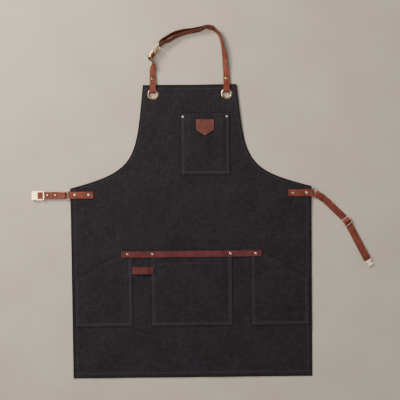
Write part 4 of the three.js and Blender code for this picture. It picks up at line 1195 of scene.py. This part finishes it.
def wire_loop(bm, points, radius, sides=14):
    """A closed loop of round wire through points that lie flat."""
    count = len(points)
    rings = []
    for i, point in enumerate(points):
        ahead = (points[(i + 1) % count] - points[i - 1]).normalized()
        out = Vector((ahead.y, -ahead.x, 0))
        rings.append([
            bm.verts.new(point + radius * (math.cos(a) * out + math.sin(a) * Vector((0, 0, 1))))
            for a in (2 * math.pi * j / sides for j in range(sides))
        ])
    for ring, after in zip(rings, rings[1:] + rings[:1]):
        for j in range(sides):
            bm.faces.new((ring[j], ring[(j + 1) % sides], after[(j + 1) % sides], after[j]))
    bmesh.ops.recalc_face_normals(bm, faces=bm.faces)


for side, s in (("left", -1), ("right", 1)):
    low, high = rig.box(side + "_ring")
    wire = (high.z - low.z) / 2
    reach = (high.y - low.y) / 2 - wire
    cy, cz = (low.y + high.y) / 2, (low.z + high.z) / 2
    bar = (low.x if s > 0 else high.x) + s * wire
    bow = (high.x if s > 0 else low.x) - s * (wire + reach)
    corner = 1.6 * MM
    half_turn = np.linspace(-math.pi / 2, math.pi / 2, 41)
    spots = [(bow + s * reach * math.cos(a), cy + reach * math.sin(a)) for a in half_turn]
    for sign in (1, -1):
        turn = [(bar + s * corner * (1 - math.cos(a)), cy + sign * (reach - corner * (1 - math.sin(a))))
                for a in np.linspace(math.pi / 2, 0, 7)]
        spots += turn if sign > 0 else turn[::-1]
    bm = bmesh.new()
    wire_loop(bm, [Vector((x, y, cz)) for x, y in spots], wire)
    finished(bm, side + "_wire_ring", side + "_ring", "pale_gold", [copper], [side + "_ring"], angle=80)

# %% Buckles, slides and plates


def hardware(node, body, metal, slot, soft, angle=32):
    """A frame piece with its edges rounded."""
    bm = merged(node)
    rounded(bm, soft, 3, angle)
    return finished(bm, node + "_metal", body, slot, [metal], [node], weighed=True)


for place_name, carrier in (("waist", "waist_buckle"), ("neck", "neck_strap")):
    hardware(place_name + "_buckle_base", carrier, pale_gold, "pale_gold", 0.3 * MM)
    hardware(place_name + "_buckle_cover", carrier, pale_gold, "pale_gold", 0.25 * MM)
    for letter in "ab":
        lever = f"{place_name}_lever_{letter}"
        hardware(lever, lever, pale_gold, "pale_gold", 0.22 * MM)
        pin = cad[f"{place_name}_lever_pin_{letter}"]
        pin.data.materials.clear()
        pin.data.materials.append(steel)
    spring = cad[place_name + "_lever_spring"]
    spring.data.materials.clear()
    spring.data.materials.append(steel)
hardware("waist_plate", "waist_plate", pale_gold, "pale_gold", 0.35 * MM)
hardware("neck_plate", "neck_strap", pale_gold, "pale_gold", 0.3 * MM)
hardware("waist_slider", "right_strap", copper, "pale_gold", 0.5 * MM)
hardware("neck_slider", "neck_strap", copper, "pale_gold", 0.5 * MM)

# %% Sheets


def flat_area(points):
    """Area inside a flat outline."""
    x, y = np.asarray(points, float).T
    return 0.5 * abs(float(np.dot(x, np.roll(y, -1)) - np.dot(y, np.roll(x, -1))))


half = [(HALF_HEM, -DROP), *map(tuple, armhole_line)]
body_area = flat_area(half + [(-x, y) for x, y in half[::-1]])
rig.sheet(
    panel, flat=(2 * HALF_WAIST, DROP + BIB), held="laid", area=body_area,
    with_pieces=[hem_stitches, back_stitches])
for name, spec in POCKETS.items():
    left, right, bottom, top = spec["left"], spec["right"], spec["bottom"], spec["top"]
    xs = np.linspace(left, right, 60)
    area = flat_area([(left, bottom), *zip(xs, top(xs)), (right, bottom)])
    tall = float(np.max(top(xs))) - bottom
    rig.sheet(
        spec["cloth"], flat=(right - left, tall), held="laid", rests_on=[panel],
        area=min(area, (right - left) * tall), with_pieces=[spec["stitches"]])
print("body cloth", round(body_area, 3), "square metres")

# %% [markdown]
# ## Floor and light
# A plain pale floor and three soft lights: a strong one low on the upper left, a broader one higher on the
# same side, like a window, and a weak one opposite.

# %% Floor and light
floor_material, tree, shader, place = start("floor", Roughness=0.7)
grain = noise(tree, place, 6, 3, 0.5)
tree.links.new(ramp(tree, grain, (0.3, "#c9bdac"), (0.7, "#d3c8b8")), shader.inputs["Base Color"])
bm = bmesh.new()
bmesh.ops.create_grid(bm, x_segments=1, y_segments=1, size=4, matrix=Matrix.Translation((0, 0, FLOOR)))
floor_mesh = bpy.data.meshes.new("floor")
bm.to_mesh(floor_mesh)
bm.free()
floor_mesh.materials.append(floor_material)
floor = bpy.data.objects.new("floor", floor_mesh)
bpy.context.scene.collection.objects.link(floor)
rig.stage(floor)

world = bpy.data.worlds.new("world")
world.use_nodes = True
world.node_tree.nodes["Background"].inputs["Color"].default_value = srgb("#eef0f2")
world.node_tree.nodes["Background"].inputs["Strength"].default_value = 0.32
bpy.context.scene.world = world


def area_light(name, spot, size, power, colour):
    data = bpy.data.lights.new(name, "AREA")
    data.size, data.energy, data.color = size, power, srgb(colour)[:3]
    light = bpy.data.objects.new(name, data)
    bpy.context.scene.collection.objects.link(light)
    light.location = spot
    light.rotation_euler = (Vector((0, -0.1, 0)) - Vector(spot)).to_track_quat("-Z", "Y").to_euler()


area_light("key", (-1.45, 1.35, 1.25), 0.55, 46, "#fff4e6")
area_light("window", (-1.0, 0.45, 1.95), 1.0, 20, "#fff8ee")
area_light("fill", (1.2, -0.5, 2.1), 1.4, 6, "#eef2ff")

# %% Finish
with open("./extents.json", "w") as file:
    json.dump({"before": [list(c) for c in size_before], "after": [list(c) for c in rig.bounds()]}, file)
print("size", json.load(open("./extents.json")))
